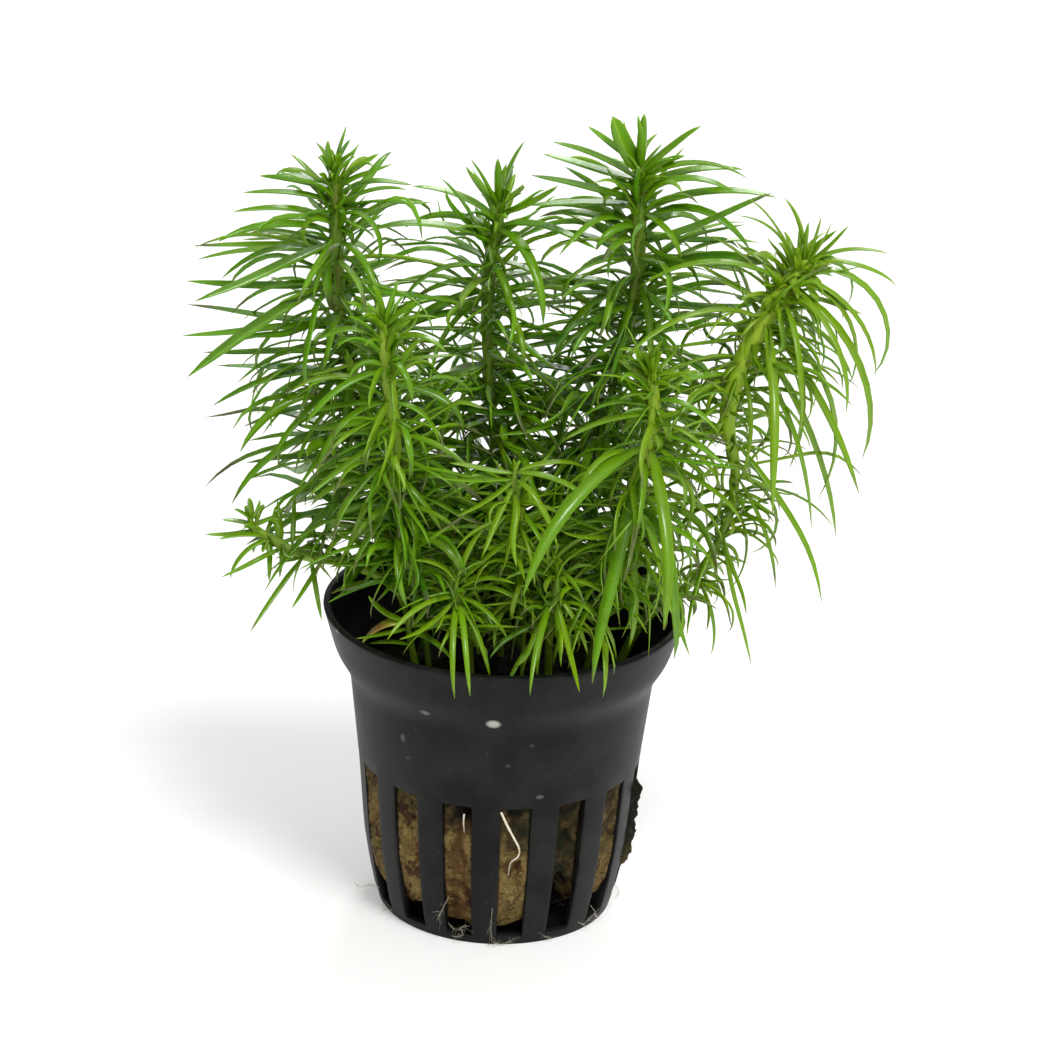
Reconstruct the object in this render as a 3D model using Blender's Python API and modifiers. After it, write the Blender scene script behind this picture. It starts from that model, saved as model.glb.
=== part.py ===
"""Potted Pogostemon deccanensis: a slotted net pot, its rockwool plug, leafy shoots and two roots.

The origin is under the middle of the pot, +Z is up and -Y is the front. Lengths below are in mm.
"""
import bpy
import bmesh
import numpy as np

MM = 0.001
SEED = 41

# Pot: outer and inner outline as (radius, height), rim first
RIM_R = 27.5
RIM_Z = 48.7
POT_OUTER = [(27.5, 48.7), (25.4, 41.5), (23.3, 38.7), (21.7, 25.0), (20.6, 12.0), (19.0, 3.0), (17.8, 0.0)]
POT_INNER = [(26.5, 48.7), (24.4, 41.2), (22.3, 38.2), (20.7, 25.0), (19.6, 12.0), (17.3, 1.0)]
POT_STEPS = 45

# Upright slots in the pot's wall
SLOT_COUNT = 15
SLOT_WIDTH = 12.4
SLOT_START = 8.0
SLOT_LOW = 1.4
SLOT_HIGH = 24.6

# Rockwool plug
PLUG_TOP = 36.0
PLUG_FOOT = 3.5
PLUG_COLUMNS = 30
GAP = 0.3

# Stems and leaves; SPACING is the least distance between the middle lines of two shoots' leaves
STEM_R = 0.8
LEAF_THICK = 0.42
SPACING = 1.45

# Of the leaves that follow the whorls' rule, every 19th is a solid here, besides those that stand
# out, and every 7th where a back shoot's leaves point backwards
LEAF_STEP = 19
BACK_STEP = 7

# Small turns that a leaf may take to keep clear of its neighbours: (bearing, slope) in degrees
NUDGES = [
    (0, 0), (6, 0), (-6, 0), (0, 8), (0, -8), (12, 0), (-12, 0), (12, 10), (-12, -10), (20, 0), (-20, 0),
]

# Each shoot: points of its stem from tip to foot, then (longest leaf, leaves in a whorl, sag in
# degrees), then the leaves that stand out: (mm below the tip, bearing from the front, slope at the
# leaf's foot, slope at its tip, length).
SHOOTS = {
    "back_left_shoot": (
        [(-28, 9, 115), (-27, 9, 109), (-27, 9, 100), (-26, 9, 90), (-24, 9, 79), (-19, 8, 63), (-10, 6, 48),
         (-7, 5, 32)],
        (23, 6, 30),
        [
            (1, -20, 48, 88, 6), (2, 61, 79, 54, 7), (3, 110, 33, 32, 8),
            (4, 80, 40, 19, 10), (5, 93, 36, -19, 12), (7, 70, 48, -5, 13),
            (3, -81, 14, 0, 9), (4, -105, 9, -3, 12), (6, -85, 19, -4, 14), (9, -76, 27, -11, 16),
            (11, -63, 30, -22, 20), (13, -99, -3, -7, 22), (12, -44, -8, -2, 29), (14, -84, 10, -16, 21),
            (15, -75, 32, -46, 19), (19, -95, -7, 1, 23), (18, -37, -6, -16, 34), (20, -83, 27, -54, 18),
            (25, -100, -4, 5, 24), (26, -91, 2, -10, 24), (30, -97, -1, -7, 22), (33, -83, 4, 3, 20),
            (34, -57, 23, -26, 24), (36, -111, 19, -66, 19), (38, -70, 3, -15, 18), (44, -77, 8, -4, 18),
            (42, -62, 12, -59, 25), (9, 50, 60, -116, 15), (12, 99, 36, 22, 8), (12, 39, 8, -70, 14),
            (16, -17, 56, -79, 13),
        ],
    ),
    "back_middle_shoot": (
        [(-3, 13, 109), (-3, 13, 105), (-4, 13, 99), (-4, 13, 92), (-4, 12, 87), (-3, 10, 75), (-1, 8, 49),
         (0, 8, 32)],
        (20, 6, 30),
        [
            (1, 58, 81, 58, 12), (1, 27, 78, 68, 8), (1, -50, 58, 57, 10), (1, -90, 39, 61, 8),
            (1, -10, 72, 70, 9), (10, -66, 74, 44, 17), (3, -94, 36, 1, 14), (5, -115, 25, -40, 16),
            (6, -81, 21, -11, 20), (11, -61, 26, -54, 17), (2, 70, 14, 48, 11), (4, 60, 20, -17, 18),
            (10, 26, 3, -102, 13), (5, 31, 22, -87, 21), (15, 91, 19, -14, 17), (16, 80, -2, 11, 17),
            (13, -99, 3, -43, 13), (18, -90, 3, -36, 15), (19, 40, -11, -10, 17), (21, 21, 2, -11, 19),
        ],
    ),
    "back_right_shoot": (
        [(18, 10, 117), (18, 10, 112), (18, 10, 109), (18, 10, 102), (18, 10, 95), (16, 9, 86), (12, 8, 68),
         (6, 6, 49), (4, 6, 32)],
        (21, 6, 32),
        [
            (1, 9, 88, 73, 9), (2, -81, 55, 70, 10), (2, -20, 78, 70, 10),
            (3, -81, 35, 15, 15), (3, -95, 7, 17, 15), (1, -100, 35, 33, 10), (2, 80, 50, 37, 12),
            (3, 89, 39, -30, 17), (4, 99, 26, -10, 16), (6, 79, 51, -32, 16),
            (8, 87, 31, -11, 21), (13, 60, 23, 34, 25), (10, 77, 45, -56, 20), (14, 116, 74, -98, 19),
            (19, 69, 39, -6, 21), (22, 91, -9, 12, 19), (7, -77, 8, -5, 17), (6, -56, 18, 22, 22),
            (12, -82, 41, -15, 16), (17, -104, 46, -19, 16), (21, -85, 29, -15, 15), (23, -37, 18, -53, 16),
            (23, 39, 4, -81, 13),
        ],
    ),
    "right_shoot": (
        [(43, 0, 106), (41, 0, 103), (39, -1, 100), (37, -2, 97), (35, -3, 93), (33, -4, 88), (32, -5, 84),
         (33, -5, 78), (34, -4, 71), (32, -3, 62), (28, -2, 54), (21, -1, 47), (15, 0, 32)],
        (20, 5, 75),
        [
            (1, -37, 88, 44, 13), (1, 2, 80, 62, 8), (1, 43, 61, 81, 9), (1, 61, 51, 70, 9),
            (1, 90, 34, 57, 9), (1, 91, 36, -14, 13), (1, 87, 24, -45, 15), (2, -60, 65, 38, 17),
            (3, -89, 84, 3, 14), (2, 81, 19, -126, 26), (3, 73, -8, -87, 21),
            (3, 98, 56, -124, 15), (4, 72, 1, -120, 22), (5, 33, 3, -95, 24), (5, 61, -15, -109, 32),
            (7, 15, 0, -119, 25), (8, 63, -55, -108, 27), (11, 3, -3, -91, 34), (11, 62, -43, -70, 30),
            (11, 76, -24, -116, 32), (16, 51, -40, -85, 29), (14, 74, -49, -83, 34), (30, 51, -29, -72, 29),
            (36, 52, -42, -86, 19), (46, 28, -68, -55, 21), (55, 63, -48, -106, 14), (41, 96, -50, -132, 17),
            (46, 18, -51, -12, 16), (11, -52, 33, -41, 28), (14, -90, -7, -15, 15), (5, -81, 39, -38, 24),
            (21, -47, 16, -54, 18), (24, -38, 10, -75, 16), (19, 12, -6, -115, 20),
        ],
    ),
    "front_left_shoot": (
        [(-19, -8, 97), (-19, -8, 92), (-18, -8, 88), (-18, -8, 83), (-17, -9, 78), (-17, -9, 71),
         (-15, -10, 61), (-12, -9, 49), (-10, -8, 32)],
        (17, 6, 45),
        [
            (1, -80, 55, 16, 7), (1, -28, 79, 44, 9), (1, 30, 66, 68, 9), (1, 70, 47, 40, 7),
            (2, 91, 49, -12, 9), (4, 61, 49, -35, 12), (3, -79, 34, -28, 10), (8, -60, 5, -56, 16),
            (13, -98, -1, -22, 13), (13, -49, 16, -78, 18), (18, -53, -14, -28, 17), (21, -43, -12, -60, 18),
            (28, -34, -20, -57, 14), (33, -60, -52, -51, 10), (13, 72, 11, -84, 11), (16, 31, 25, -135, 13),
            (7, 32, 42, -103, 10), (24, 57, -21, -67, 12), (20, 87, -10, -45, 13),
        ],
    ),
    "front_right_shoot": (
        [(20, -11, 93), (21, -11, 88), (21, -12, 84), (21, -12, 80), (19, -12, 75), (17, -12, 65),
         (14, -10, 50), (11, -8, 32)],
        (19, 6, 60),
        [
            (13, -37, 9, -67, 34), (16, -17, -36, -72, 34), (13, 8, 0, -95, 32), (11, 65, 12, -41, 13),
            (13, 62, 12, -127, 14), (3, 80, 61, -59, 7), (2, -79, 84, -11, 7), (1, 29, 77, 51, 6),
            (6, 60, 25, -48, 12), (7, -76, 28, -38, 12), (8, -57, 12, -20, 16), (23, 25, 25, -120, 32),
            (26, 22, -28, -122, 21), (19, 49, -67, -62, 27),
        ],
    ),
    "left_side_shoot": (
        [(-39, -2, 63), (-38, -2, 61), (-35, -3, 58), (-31, -3, 57), (-26, -4, 57), (-20, -5, 55),
         (-15, -5, 50), (-13, -4, 32)],
        (9, 4, 25),
        [
            (1, 0, 64, 60, 5), (1, -48, 47, 25, 4), (1, 55, 44, 88, 4), (2, -80, 16, 4, 5),
            (3, -90, -16, 0, 8), (5, -70, 16, -11, 8), (6, -61, 10, -77, 10), (8, -40, -2, -5, 14),
            (5, 6, -40, -70, 7), (11, -37, -32, -38, 15), (14, -30, -33, -29, 10), (12, 20, -54, -50, 10),
            (7, 186, 50, 40, 7), (9, 183, 55, 30, 9),
        ],
    ),
    "middle_front_shoot": (
        [(1, -14, 77), (1, -14, 73), (2, -14, 69), (2, -13, 62), (3, -12, 51), (3, -10, 32)],
        (13, 6, 45),
        [
            (1, -80, 7, 15, 10), (2, -70, 5, 9, 12), (2, -47, -26, -1, 12), (3, -28, -34, -38, 13),
            (2, 23, 14, -40, 18), (1, 73, 13, -37, 13), (1, 102, 30, -32, 12), (4, 2, 5, -27, 20),
        ],
    ),
    "low_left_shoot": (
        [(-7, -17, 60), (-7, -17, 57), (-6, -17, 53), (-5, -15, 48), (-4, -13, 32)],
        (13, 6, 55),
        [
            (4, -6, 14, -92, 18), (4, 7, 14, -90, 18), (3, -46, 20, -43, 15), (3, -40, -32, 5, 13),
            (3, 58, 11, -62, 11), (2, 80, 30, -57, 14), (1, 89, 51, 33, 15), (1, -87, 70, -15, 9),
            (1, 120, 81, 46, 11), (4, 36, -17, -82, 13), (2, -77, 1, -34, 10), (2, 60, 51, -12, 11),
        ],
    ),
    "low_right_shoot": (
        [(7, -17, 64), (8, -17, 60), (7, -17, 55), (7, -15, 48), (7, -12, 32)],
        (14, 6, 60),
        [
            (7, -12, 9, -60, 20), (7, -46, -37, -68, 13), (7, -23, -28, -100, 13), (7, 11, -25, -38, 12),
            (6, 50, -28, -77, 11), (6, 21, -55, -22, 18), (5, 62, -15, -87, 16), (4, 67, 24, -54, 11),
            (4, -73, 49, -35, 9), (2, 92, 60, -14, 8), (2, -58, 49, 20, 10),
        ],
    ),
    "rim_left_shoot": (
        [(-14, -13, 52), (-14, -13, 49), (-13, -12, 46), (-12, -11, 32)],
        (10, 5, 40),
        [
            (1, -79, 10, 61, 8), (2, -59, -12, -4, 9), (2, 90, 44, 70, 7),
            (3, 39, 23, -26, 11), (2, 70, 32, -33, 10), (5, -66, 22, -2, 7),
        ],
    ),
}

# Lump of wool pushed out through the slot on the right: (height, how far out it reaches)
LUMP = [(6.6, 20.8), (9.5, 22.1), (13.5, 22.3), (17.5, 22.5), (20.5, 23.0), (22.6, 22.1)]

# Roots lying in the front slots: middle lines, bearing from the front and height
WHITE_ROOT = [(1.9, 24.2), (4.4, 22.0), (7.6, 19.6), (9.8, 17.8), (9.4, 16.4), (6.6, 15.4), (5.8, 13.2)]
SHORT_ROOT = [(-12.9, 23.4), (-13.1, 21.8), (-12.7, 20.2)]
ROOT_R = 0.24


def smooth(points, per_span=8):
    """Points of a curve through all the given ones."""
    p = np.asarray(points, float)
    p = np.vstack([2 * p[0] - p[1], p, 2 * p[-1] - p[-2]])
    t = (np.arange(per_span) / per_span)[:, None]
    spans = [
        0.5 * (2 * b + (c - a) * t + (2 * a - 5 * b + 4 * c - d) * t**2 + (3 * b - a - 3 * c + d) * t**3)
        for a, b, c, d in zip(p[:-3], p[1:-2], p[2:-1], p[3:])
    ]
    return np.vstack(spans + [p[-2:-1]])


def along(line, at):
    """Points at the given distances from the line's start, and the line's length."""
    run = np.concatenate([[0.0], np.cumsum(np.linalg.norm(np.diff(line, axis=0), axis=1))])
    return np.stack([np.interp(at, run, line[:, i]) for i in range(3)], axis=-1), run[-1]


def stem_line(points):
    """Stem from tip to foot, in pieces of about 8 mm."""
    curve = smooth(points)
    run = along(curve, 0)[1]
    return along(curve, np.concatenate([[0.0], np.arange(3.0, run - 9.0, 8.0), [run - 5.0, run]]))[0]


def leaf_line(foot, bearing, rise, fall, length, steps=16):
    """Middle line of a leaf: it keeps its bearing while its slope turns evenly from rise to fall."""
    turn = np.radians(rise + (fall - rise) * (np.arange(steps) + 0.5) / steps)
    out = np.array([np.sin(np.radians(bearing)), -np.cos(np.radians(bearing)), 0.0])
    step = np.outer(np.cos(turn), out) + np.outer(np.sin(turn), [0.0, 0.0, 1.0])
    return np.vstack([foot, foot + np.cumsum(step * (length / steps), axis=0)])


def whorls(index, run, longest, count, sag):
    """Leaves of one shoot by rule, from its tip down, as (mm below tip, bearing, rise, fall, length)."""
    rng = np.random.default_rng(SEED + index)
    leaves = []
    at = 0.6
    turn = rng.uniform(0, 60)
    while at < run - 17.0:
        grown = min(1.0, at / (0.55 * longest))
        for k in range(count):
            bearing = turn + 360.0 * k / count + rng.uniform(-14, 14)
            length = longest * (0.08 + 0.92 * grown**0.65) * rng.uniform(0.72, 1.02)
            rise = 78 - 66 * grown**0.7 - 0.25 * max(0.0, at - 15) + rng.uniform(-14, 14)
            fall = rise - (8 + sag * grown) * rng.uniform(0.5, 1.5)
            leaves.append((at, bearing, rise, max(fall, -120.0), length))
        turn += 180.0 / count + rng.uniform(-8, 8)
        at += 1.3 + 1.5 * grown + rng.uniform(-0.2, 0.2)
    return leaves


def polar(bearing, radius, z):
    a = np.radians(bearing)
    return np.array([radius * np.sin(a), -radius * np.cos(a), z])


def wall(outline, z):
    """Radius of the pot's outline at a height."""
    r, h = np.array(outline).T
    return np.interp(z, h[::-1], r[::-1])


def turned(a, b):
    """Angle between two bearings."""
    return abs((a - b + 180.0) % 360.0 - 180.0)


def clear_of_pot(line, room):
    """True where a leaf neither meets the pot's wall nor goes into the plug."""
    r = np.hypot(line[:, 0], line[:, 1])
    z = line[:, 2]
    outside = r > RIM_R + room
    above = z > RIM_Z + room
    inside = (r < wall(POT_INNER, z) - room) & (z > PLUG_TOP + 0.5 + room)
    return bool((outside | above | inside).all())


def leaf_width(length):
    """Short leaves are about 1 mm wide, the longest 2.5 mm."""
    return 1.0 + 1.5 * (length / 34.0) ** 3


def settled(foot, leaf, others):
    """The leaf, or its nearest small turn, that keeps clear of the pot and of other shoots."""
    for bearing, rise in NUDGES:
        line = leaf_line(foot, leaf[1] + bearing, leaf[2] + rise, leaf[3] + rise, leaf[4])
        apart = np.linalg.norm(line[:, None] - others[None], axis=2).min()
        if clear_of_pot(line, 0.5 * leaf_width(leaf[4]) + 0.5) and apart > SPACING:
            return line
    return None


def is_solid(name, place, leaf):
    """True for the rule's leaves that are solids: one in 19, and one in 7 behind a back shoot."""
    behind = name.startswith("back") and turned(leaf[1], 180.0) < 60
    return place % (BACK_STEP if behind else LEAF_STEP) == 0


def plan():
    """Stem line and leaf lines of every shoot."""
    stems = {name: stem_line(points) for name, (points, _, _) in SHOOTS.items()}
    taken = {name: [along(stem, np.arange(0, along(stem, 0)[1], 0.7))[0]] for name, stem in stems.items()}
    leaves = {name: [] for name in SHOOTS}
    for is_picked in (True, False):
        for index, (name, (_, habit, picked)) in enumerate(SHOOTS.items()):
            others = np.vstack([line for other, lines in taken.items() if other != name for line in lines])
            rows = picked
            if not is_picked:
                rows = [
                    r for k, r in enumerate(whorls(index, along(stems[name], 0)[1], *habit))
                    if is_solid(name, k, r)
                    and not any(abs(p[0] - r[0]) < 1.6 and turned(p[1], r[1]) < 24 for p in picked)
                ]
            for leaf in rows:
                line = settled(along(stems[name], leaf[0])[0], leaf, others)
                if line is not None:
                    leaves[name].append(line)
                    taken[name].append(along(line, np.arange(0, along(line, 0)[1], 0.7))[0])
    return stems, leaves


def clear_scene():
    for obj in list(bpy.data.objects):
        bpy.data.objects.remove(obj, do_unlink=True)


def collection(name, hidden=False):
    found = bpy.data.collections.new(name)
    bpy.context.scene.collection.children.link(found)
    found.hide_render = hidden
    return found


def material(name, colour, roughness):
    mat = bpy.data.materials.new(name)
    mat.use_nodes = True
    shader = mat.node_tree.nodes["Principled BSDF"]
    shader.inputs["Base Color"].default_value = (*colour, 1.0)
    shader.inputs["Roughness"].default_value = roughness
    shader.inputs["Metallic"].default_value = 0.0
    return mat


def add(name, mesh, place, mat=None):
    obj = bpy.data.objects.new(name, mesh)
    place.objects.link(obj)
    if mat:
        mesh.materials.append(mat)
    if place.hide_render:
        obj.hide_render = True
        obj.display_type = "WIRE"
    return obj


def boolean(obj, other, operation, use_self=False):
    cut = obj.modifiers.new(operation.title(), "BOOLEAN")
    cut.operation = operation
    cut.solver = "EXACT"
    cut.use_self = use_self
    cut.object = other


def loft(bm, rings):
    """Closed skin over rings of points given in mm; a ring of one point is a tip."""
    rows = [[bm.verts.new(np.asarray(p) * MM) for p in ring] for ring in rings]
    for a, b in zip(rows, rows[1:]):
        count = max(len(a), len(b))
        for k in range(count):
            j = (k + 1) % count
            if len(b) == 1:
                bm.faces.new((a[k], a[j], b[0]))
            elif len(a) == 1:
                bm.faces.new((a[0], b[j], b[k]))
            else:
                bm.faces.new((a[k], a[j], b[j], b[k]))
    for row in (rows[0], rows[-1]):
        if len(row) > 2:
            bm.faces.new(row)


def mesh_of(name, bm):
    bmesh.ops.recalc_face_normals(bm, faces=bm.faces[:])
    mesh = bpy.data.meshes.new(name)
    bm.to_mesh(mesh)
    bm.free()
    return mesh


def tube_mesh(name, points, radii, rounding=1):
    """Round tube along points in mm, as a mesh with its ends closed."""
    curve = bpy.data.curves.new(name, "CURVE")
    curve.dimensions = "3D"
    curve.bevel_depth = MM
    curve.bevel_resolution = rounding
    curve.use_fill_caps = True
    line = curve.splines.new("POLY")
    line.points.add(len(points) - 1)
    for knot, point, radius in zip(line.points, points, radii):
        knot.co = (*(np.asarray(point) * MM), 1.0)
        knot.radius = radius
    helper = bpy.data.objects.new(name + "_line", curve)
    bpy.context.scene.collection.objects.link(helper)
    graph = bpy.context.evaluated_depsgraph_get()
    mesh = bpy.data.meshes.new_from_object(helper.evaluated_get(graph))
    bpy.data.objects.remove(helper, do_unlink=True)
    bm = bmesh.new()
    bm.from_mesh(mesh)
    bmesh.ops.remove_doubles(bm, verts=bm.verts[:], dist=1e-6)
    bpy.data.meshes.remove(mesh)
    return mesh_of(name, bm)


def make_pot(place, cutters):
    mesh = bpy.data.meshes.new("pot")
    outline = [(0.0, POT_INNER[-1][1])] + POT_INNER[::-1] + POT_OUTER + [(0.0, 0.0)]
    edges = [(k, k + 1) for k in range(len(outline) - 1)]
    mesh.from_pydata([(r * MM, 0.0, z * MM) for r, z in outline], edges, [])
    pot = add("pot", mesh, place, material("black polypropylene", (0.012, 0.013, 0.014), 0.4))
    screw = pot.modifiers.new("Turn", "SCREW")
    screw.steps = POT_STEPS
    screw.render_steps = POT_STEPS
    screw.use_merge_vertices = True
    screw.merge_threshold = 0.00001
    bm = bmesh.new()
    for k in range(SLOT_COUNT):
        middle = SLOT_START + 360.0 * k / SLOT_COUNT
        ring = [(-0.5, 12.0), (0.5, 12.0), (0.5, 30.0), (-0.5, 30.0)]
        loft(bm, [[polar(middle + s * SLOT_WIDTH, r, z) for s, r in ring] for z in (SLOT_LOW, SLOT_HIGH)])
    boolean(pot, add("slot_cutters", mesh_of("slot_cutters", bm), cutters), "DIFFERENCE")


def make_plug(place, cutters, stems):
    rng = np.random.default_rng(SEED)
    bearings = SLOT_START + 360.0 * np.arange(PLUG_COLUMNS) / PLUG_COLUMNS
    in_slot = np.arange(PLUG_COLUMNS) % 2 == 0
    # A corner of the plug is missing behind the slot right of the front
    foot = PLUG_FOOT + 6.5 * np.exp(-((bearings - 32.0) / 12.0) ** 2)
    rings = []
    for level in (0.0, 12.0, 20.0, 25.0, PLUG_TOP):
        ends = level in (0.0, PLUG_TOP)
        ring = []
        for k, bearing in enumerate(bearings):
            z = max(level, foot[k] + 1.5) if level else foot[k]
            z += rng.uniform(-0.5, 0.5) if ends else 0.0
            bulge = 0.55 if in_slot[k] and level in (12.0, 20.0) else 0.0
            radius = wall(POT_INNER, z) - GAP - 0.12 + bulge - 0.8 * ends - rng.uniform(0, 0.12)
            ring.append(polar(bearing, radius, z))
        rings.append(ring)
    bm = bmesh.new()
    loft(bm, [[(0.0, 0.0, PLUG_FOOT)]] + rings + [[(0.0, 0.0, PLUG_TOP)]])
    plug = add("rockwool_plug", mesh_of("rockwool_plug", bm), place,
               material("tan rockwool", (0.22, 0.15, 0.06), 0.95))
    lump = bmesh.new()
    section = [(-4.4, 0.0), (-3.6, 0.75), (0.2, 1.0), (3.8, 0.7), (4.5, 0.0)]
    loft(lump, [[polar(80.0 + s, 18.6 + (out - 18.6) * reach, z) for s, reach in section] for z, out in LUMP])
    boolean(plug, add("lump", mesh_of("lump", lump), cutters), "UNION")
    for name, stem in stems.items():
        points = np.vstack([stem[stem[:, 2] < PLUG_TOP + 6], stem[-1] + [0, 0, -GAP]])
        radii = [STEM_R + GAP] * len(points)
        socket = tube_mesh(name + "_socket", points, radii, rounding=0)
        boolean(plug, add(name + "_socket", socket, cutters), "DIFFERENCE")


def leaf_rings(line, root):
    """Three-sided sections of a leaf: flat above, keeled below, long-pointed."""
    length = along(line, 0)[1]
    width = leaf_width(length)
    first, last = (v / np.linalg.norm(v) for v in np.diff(line, axis=0)[[0, -1]])
    bend = np.degrees(np.arccos(np.clip(first @ last, -1, 1)))
    # Short or straight leaves need fewer sections than long bent ones
    parts = (0.0, 0.3, 0.66)
    widths = (0.5, 1.0, 0.8)
    if length < 14 or (length < 18 and bend < 25):
        parts = (0.0, 0.42)
        widths = (0.5, 1.0)
    elif bend > 75 and length > 19:
        parts = (0.0, 0.26, 0.5, 0.76)
        widths = (0.5, 1.0, 0.98, 0.7)
    rings = []
    for part, share in zip(parts, widths):
        at = root + (length - root) * part
        (a, p, b), _ = along(line, np.clip([at - 0.5, at, at + 0.5], 0, length))
        ahead = (b - a) / np.linalg.norm(b - a)
        flat = line[-1] - line[0]
        side = np.array([flat[1], -flat[0], 0.0]) / (np.hypot(flat[0], flat[1]) + 1e-9)
        below = np.cross(ahead, side)
        half = 0.5 * width * share
        rings.append([p - side * half, p + side * half, p + below * LEAF_THICK * (0.7 + 0.3 * share)])
    rings.append([line[-1]])
    return rings


def make_shoot(name, stem, leaves, place, cutters, mat):
    radii = np.full(len(stem), STEM_R)
    radii[0] = 0.4
    radii[1] = 0.65
    shoot = add(name, tube_mesh(name, stem, radii, rounding=0), place, mat)
    bm = bmesh.new()
    for line in leaves:
        near_tip = np.linalg.norm(line[0] - stem[0])
        loft(bm, leaf_rings(line, min(0.45, 0.15 + 0.06 * near_tip)))
    blades = add(name + "_leaves", mesh_of(name + "_leaves", bm), cutters)
    boolean(shoot, blades, "UNION", use_self=True)


def make_root(name, spots, place, mat):
    points = [polar(bearing, wall(POT_OUTER, z) + 0.1, z) for bearing, z in spots]
    radii = np.full(len(points), ROOT_R)
    radii[-1] = 0.6 * ROOT_R
    add(name, tube_mesh(name, points, radii), place, mat)


def main():
    clear_scene()
    place = collection("potted_pogostemon_deccanensis")
    cutters = collection("cutters", hidden=True)
    stems, leaves = plan()
    make_pot(place, cutters)
    make_plug(place, cutters, stems)
    for name in SHOOTS:
        yellow = name in ("right_shoot", "front_right_shoot", "left_side_shoot")
        colour = (0.2, 0.34, 0.03) if yellow else (0.09, 0.26, 0.03)
        green = material(name + " leaf green", colour, 0.4)
        make_shoot(name, stems[name], leaves[name], place, cutters, green)
    pale = material("pale root", (0.75, 0.7, 0.55), 0.6)
    make_root("white_root", WHITE_ROOT, place, pale)
    make_root("short_root", SHORT_ROOT, place, pale)


main()
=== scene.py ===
"""Potted Pogostemon deccanensis: the looks of the net pot, its rockwool, the leafy shoots and the roots.

The frame's origin is under the middle of the pot, +Z is up and -Y is the front. The tables and the
surface functions work in mm; make_piece turns them into metres.
"""

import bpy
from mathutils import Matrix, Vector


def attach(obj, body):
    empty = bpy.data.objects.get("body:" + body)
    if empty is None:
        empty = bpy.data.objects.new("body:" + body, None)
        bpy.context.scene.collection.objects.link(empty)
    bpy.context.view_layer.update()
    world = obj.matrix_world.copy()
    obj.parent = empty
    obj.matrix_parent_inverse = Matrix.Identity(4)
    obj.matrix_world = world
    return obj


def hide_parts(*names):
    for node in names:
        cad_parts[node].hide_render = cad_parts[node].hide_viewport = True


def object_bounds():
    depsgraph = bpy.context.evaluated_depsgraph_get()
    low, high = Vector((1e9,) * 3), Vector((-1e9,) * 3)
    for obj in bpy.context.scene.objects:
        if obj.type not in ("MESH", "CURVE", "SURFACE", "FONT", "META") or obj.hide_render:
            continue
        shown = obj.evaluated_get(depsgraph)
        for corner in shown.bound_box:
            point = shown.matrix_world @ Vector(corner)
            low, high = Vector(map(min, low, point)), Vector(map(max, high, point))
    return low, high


bl_info = {
    "name": "Potted Pogostemon Deccanensis",
    "version": (1, 0, 0),
    "blender": (4, 5, 0),
    "location": "3D View > Sidebar > Potted plant",
    "description": "Builds a slotted net pot with rockwool and a bushy aquarium plant",
    "category": "Add Mesh",
}

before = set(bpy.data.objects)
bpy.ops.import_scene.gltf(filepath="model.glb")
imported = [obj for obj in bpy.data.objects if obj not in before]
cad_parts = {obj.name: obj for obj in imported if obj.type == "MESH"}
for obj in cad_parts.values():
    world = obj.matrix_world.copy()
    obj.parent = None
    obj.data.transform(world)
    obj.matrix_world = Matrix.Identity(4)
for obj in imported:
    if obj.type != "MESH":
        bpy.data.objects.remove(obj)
CAD_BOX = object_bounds()

import bpy
import numpy as np
from bpy.props import FloatProperty, FloatVectorProperty, PointerProperty
from mathutils import Matrix, Vector

MM = 0.001
SEED = 41

# Camera: the picture's width and the focal length in pixels, the sensor's width in mm, and the
# place that it looks at
FRAME_PX = 1050.0
FOCAL_PX = 4970.0
SENSOR = 36.0
AIM = (0.00271, 0.0, 0.0619)

# Kinds of leaf: those that stand out are numbered from STANDING on, and the others are the whorls'
# leaves that are solids and those that fill in, the thin wisps, and one old leaf
STANDING = 1
BY_RULE = 0
FILL_IN = -1
WISP = -2
OLD = -3

# Pot: outer outline as (radius, height), rim first; the wall is 1 mm thick
RIM_R = 27.5
RIM_Z = 48.7
POT_OUTER = [(27.5, 48.7), (25.4, 41.5), (23.3, 38.7), (21.7, 25.0), (20.6, 12.0), (19.0, 3.0), (17.8, 0.0)]
POT_INNER = [(26.5, 48.7), (24.4, 41.2), (22.3, 38.2), (20.7, 25.0), (19.6, 12.0), (17.3, 1.0)]
SLOT_COUNT = 15
SLOT_WIDTH = 12.4
SLOT_START = 8.0
SLOT_LOW = 1.4
SLOT_HIGH = 24.6
PITCH = 360.0 / SLOT_COUNT

# Rockwool plug
PLUG_TOP = 36.0
PLUG_FOOT = 3.5

# Least distance between the middle lines of two shoots' leaves, and how far apart the places on them
# are at which it is measured
SPACING = 1.45
PLACES = 0.7

# A shoot with a stem longer than this has young leaves standing close about its tip
TALL = 60.0
YOUNG_COUNT = 20

# Of the leaves that follow the whorls' rule, the solids have every 19th, besides those that stand out,
# and every 7th where a back shoot's leaves point backwards
LEAF_STEP = 19
BACK_STEP = 7

# Small turns that a leaf may take to keep clear of its neighbours: (bearing, slope) in degrees
NUDGES = [
    (0, 0), (6, 0), (-6, 0), (0, 8), (0, -8), (12, 0), (-12, 0), (12, 10), (-12, -10), (20, 0), (-20, 0),
]

# Dried spots on the pot: (bearing from the front, height, half width, half height, how pale)
SPOTS = [
    (-2.1, 39.9, 1.15, 0.9, 0.8), (-27.1, 40.2, 0.9, 0.5, 0.22), (-39.3, 34.0, 0.5, 0.8, 0.14),
    (12.5, 35.7, 0.5, 0.4, 0.05), (17.1, 26.6, 0.7, 0.4, 0.14), (-37.3, 30.8, 0.6, 0.4, 0.06),
    (3.8, 32.3, 0.45, 0.4, 0.06), (-65.0, 48.4, 0.8, 0.3, 0.4),
]

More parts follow.
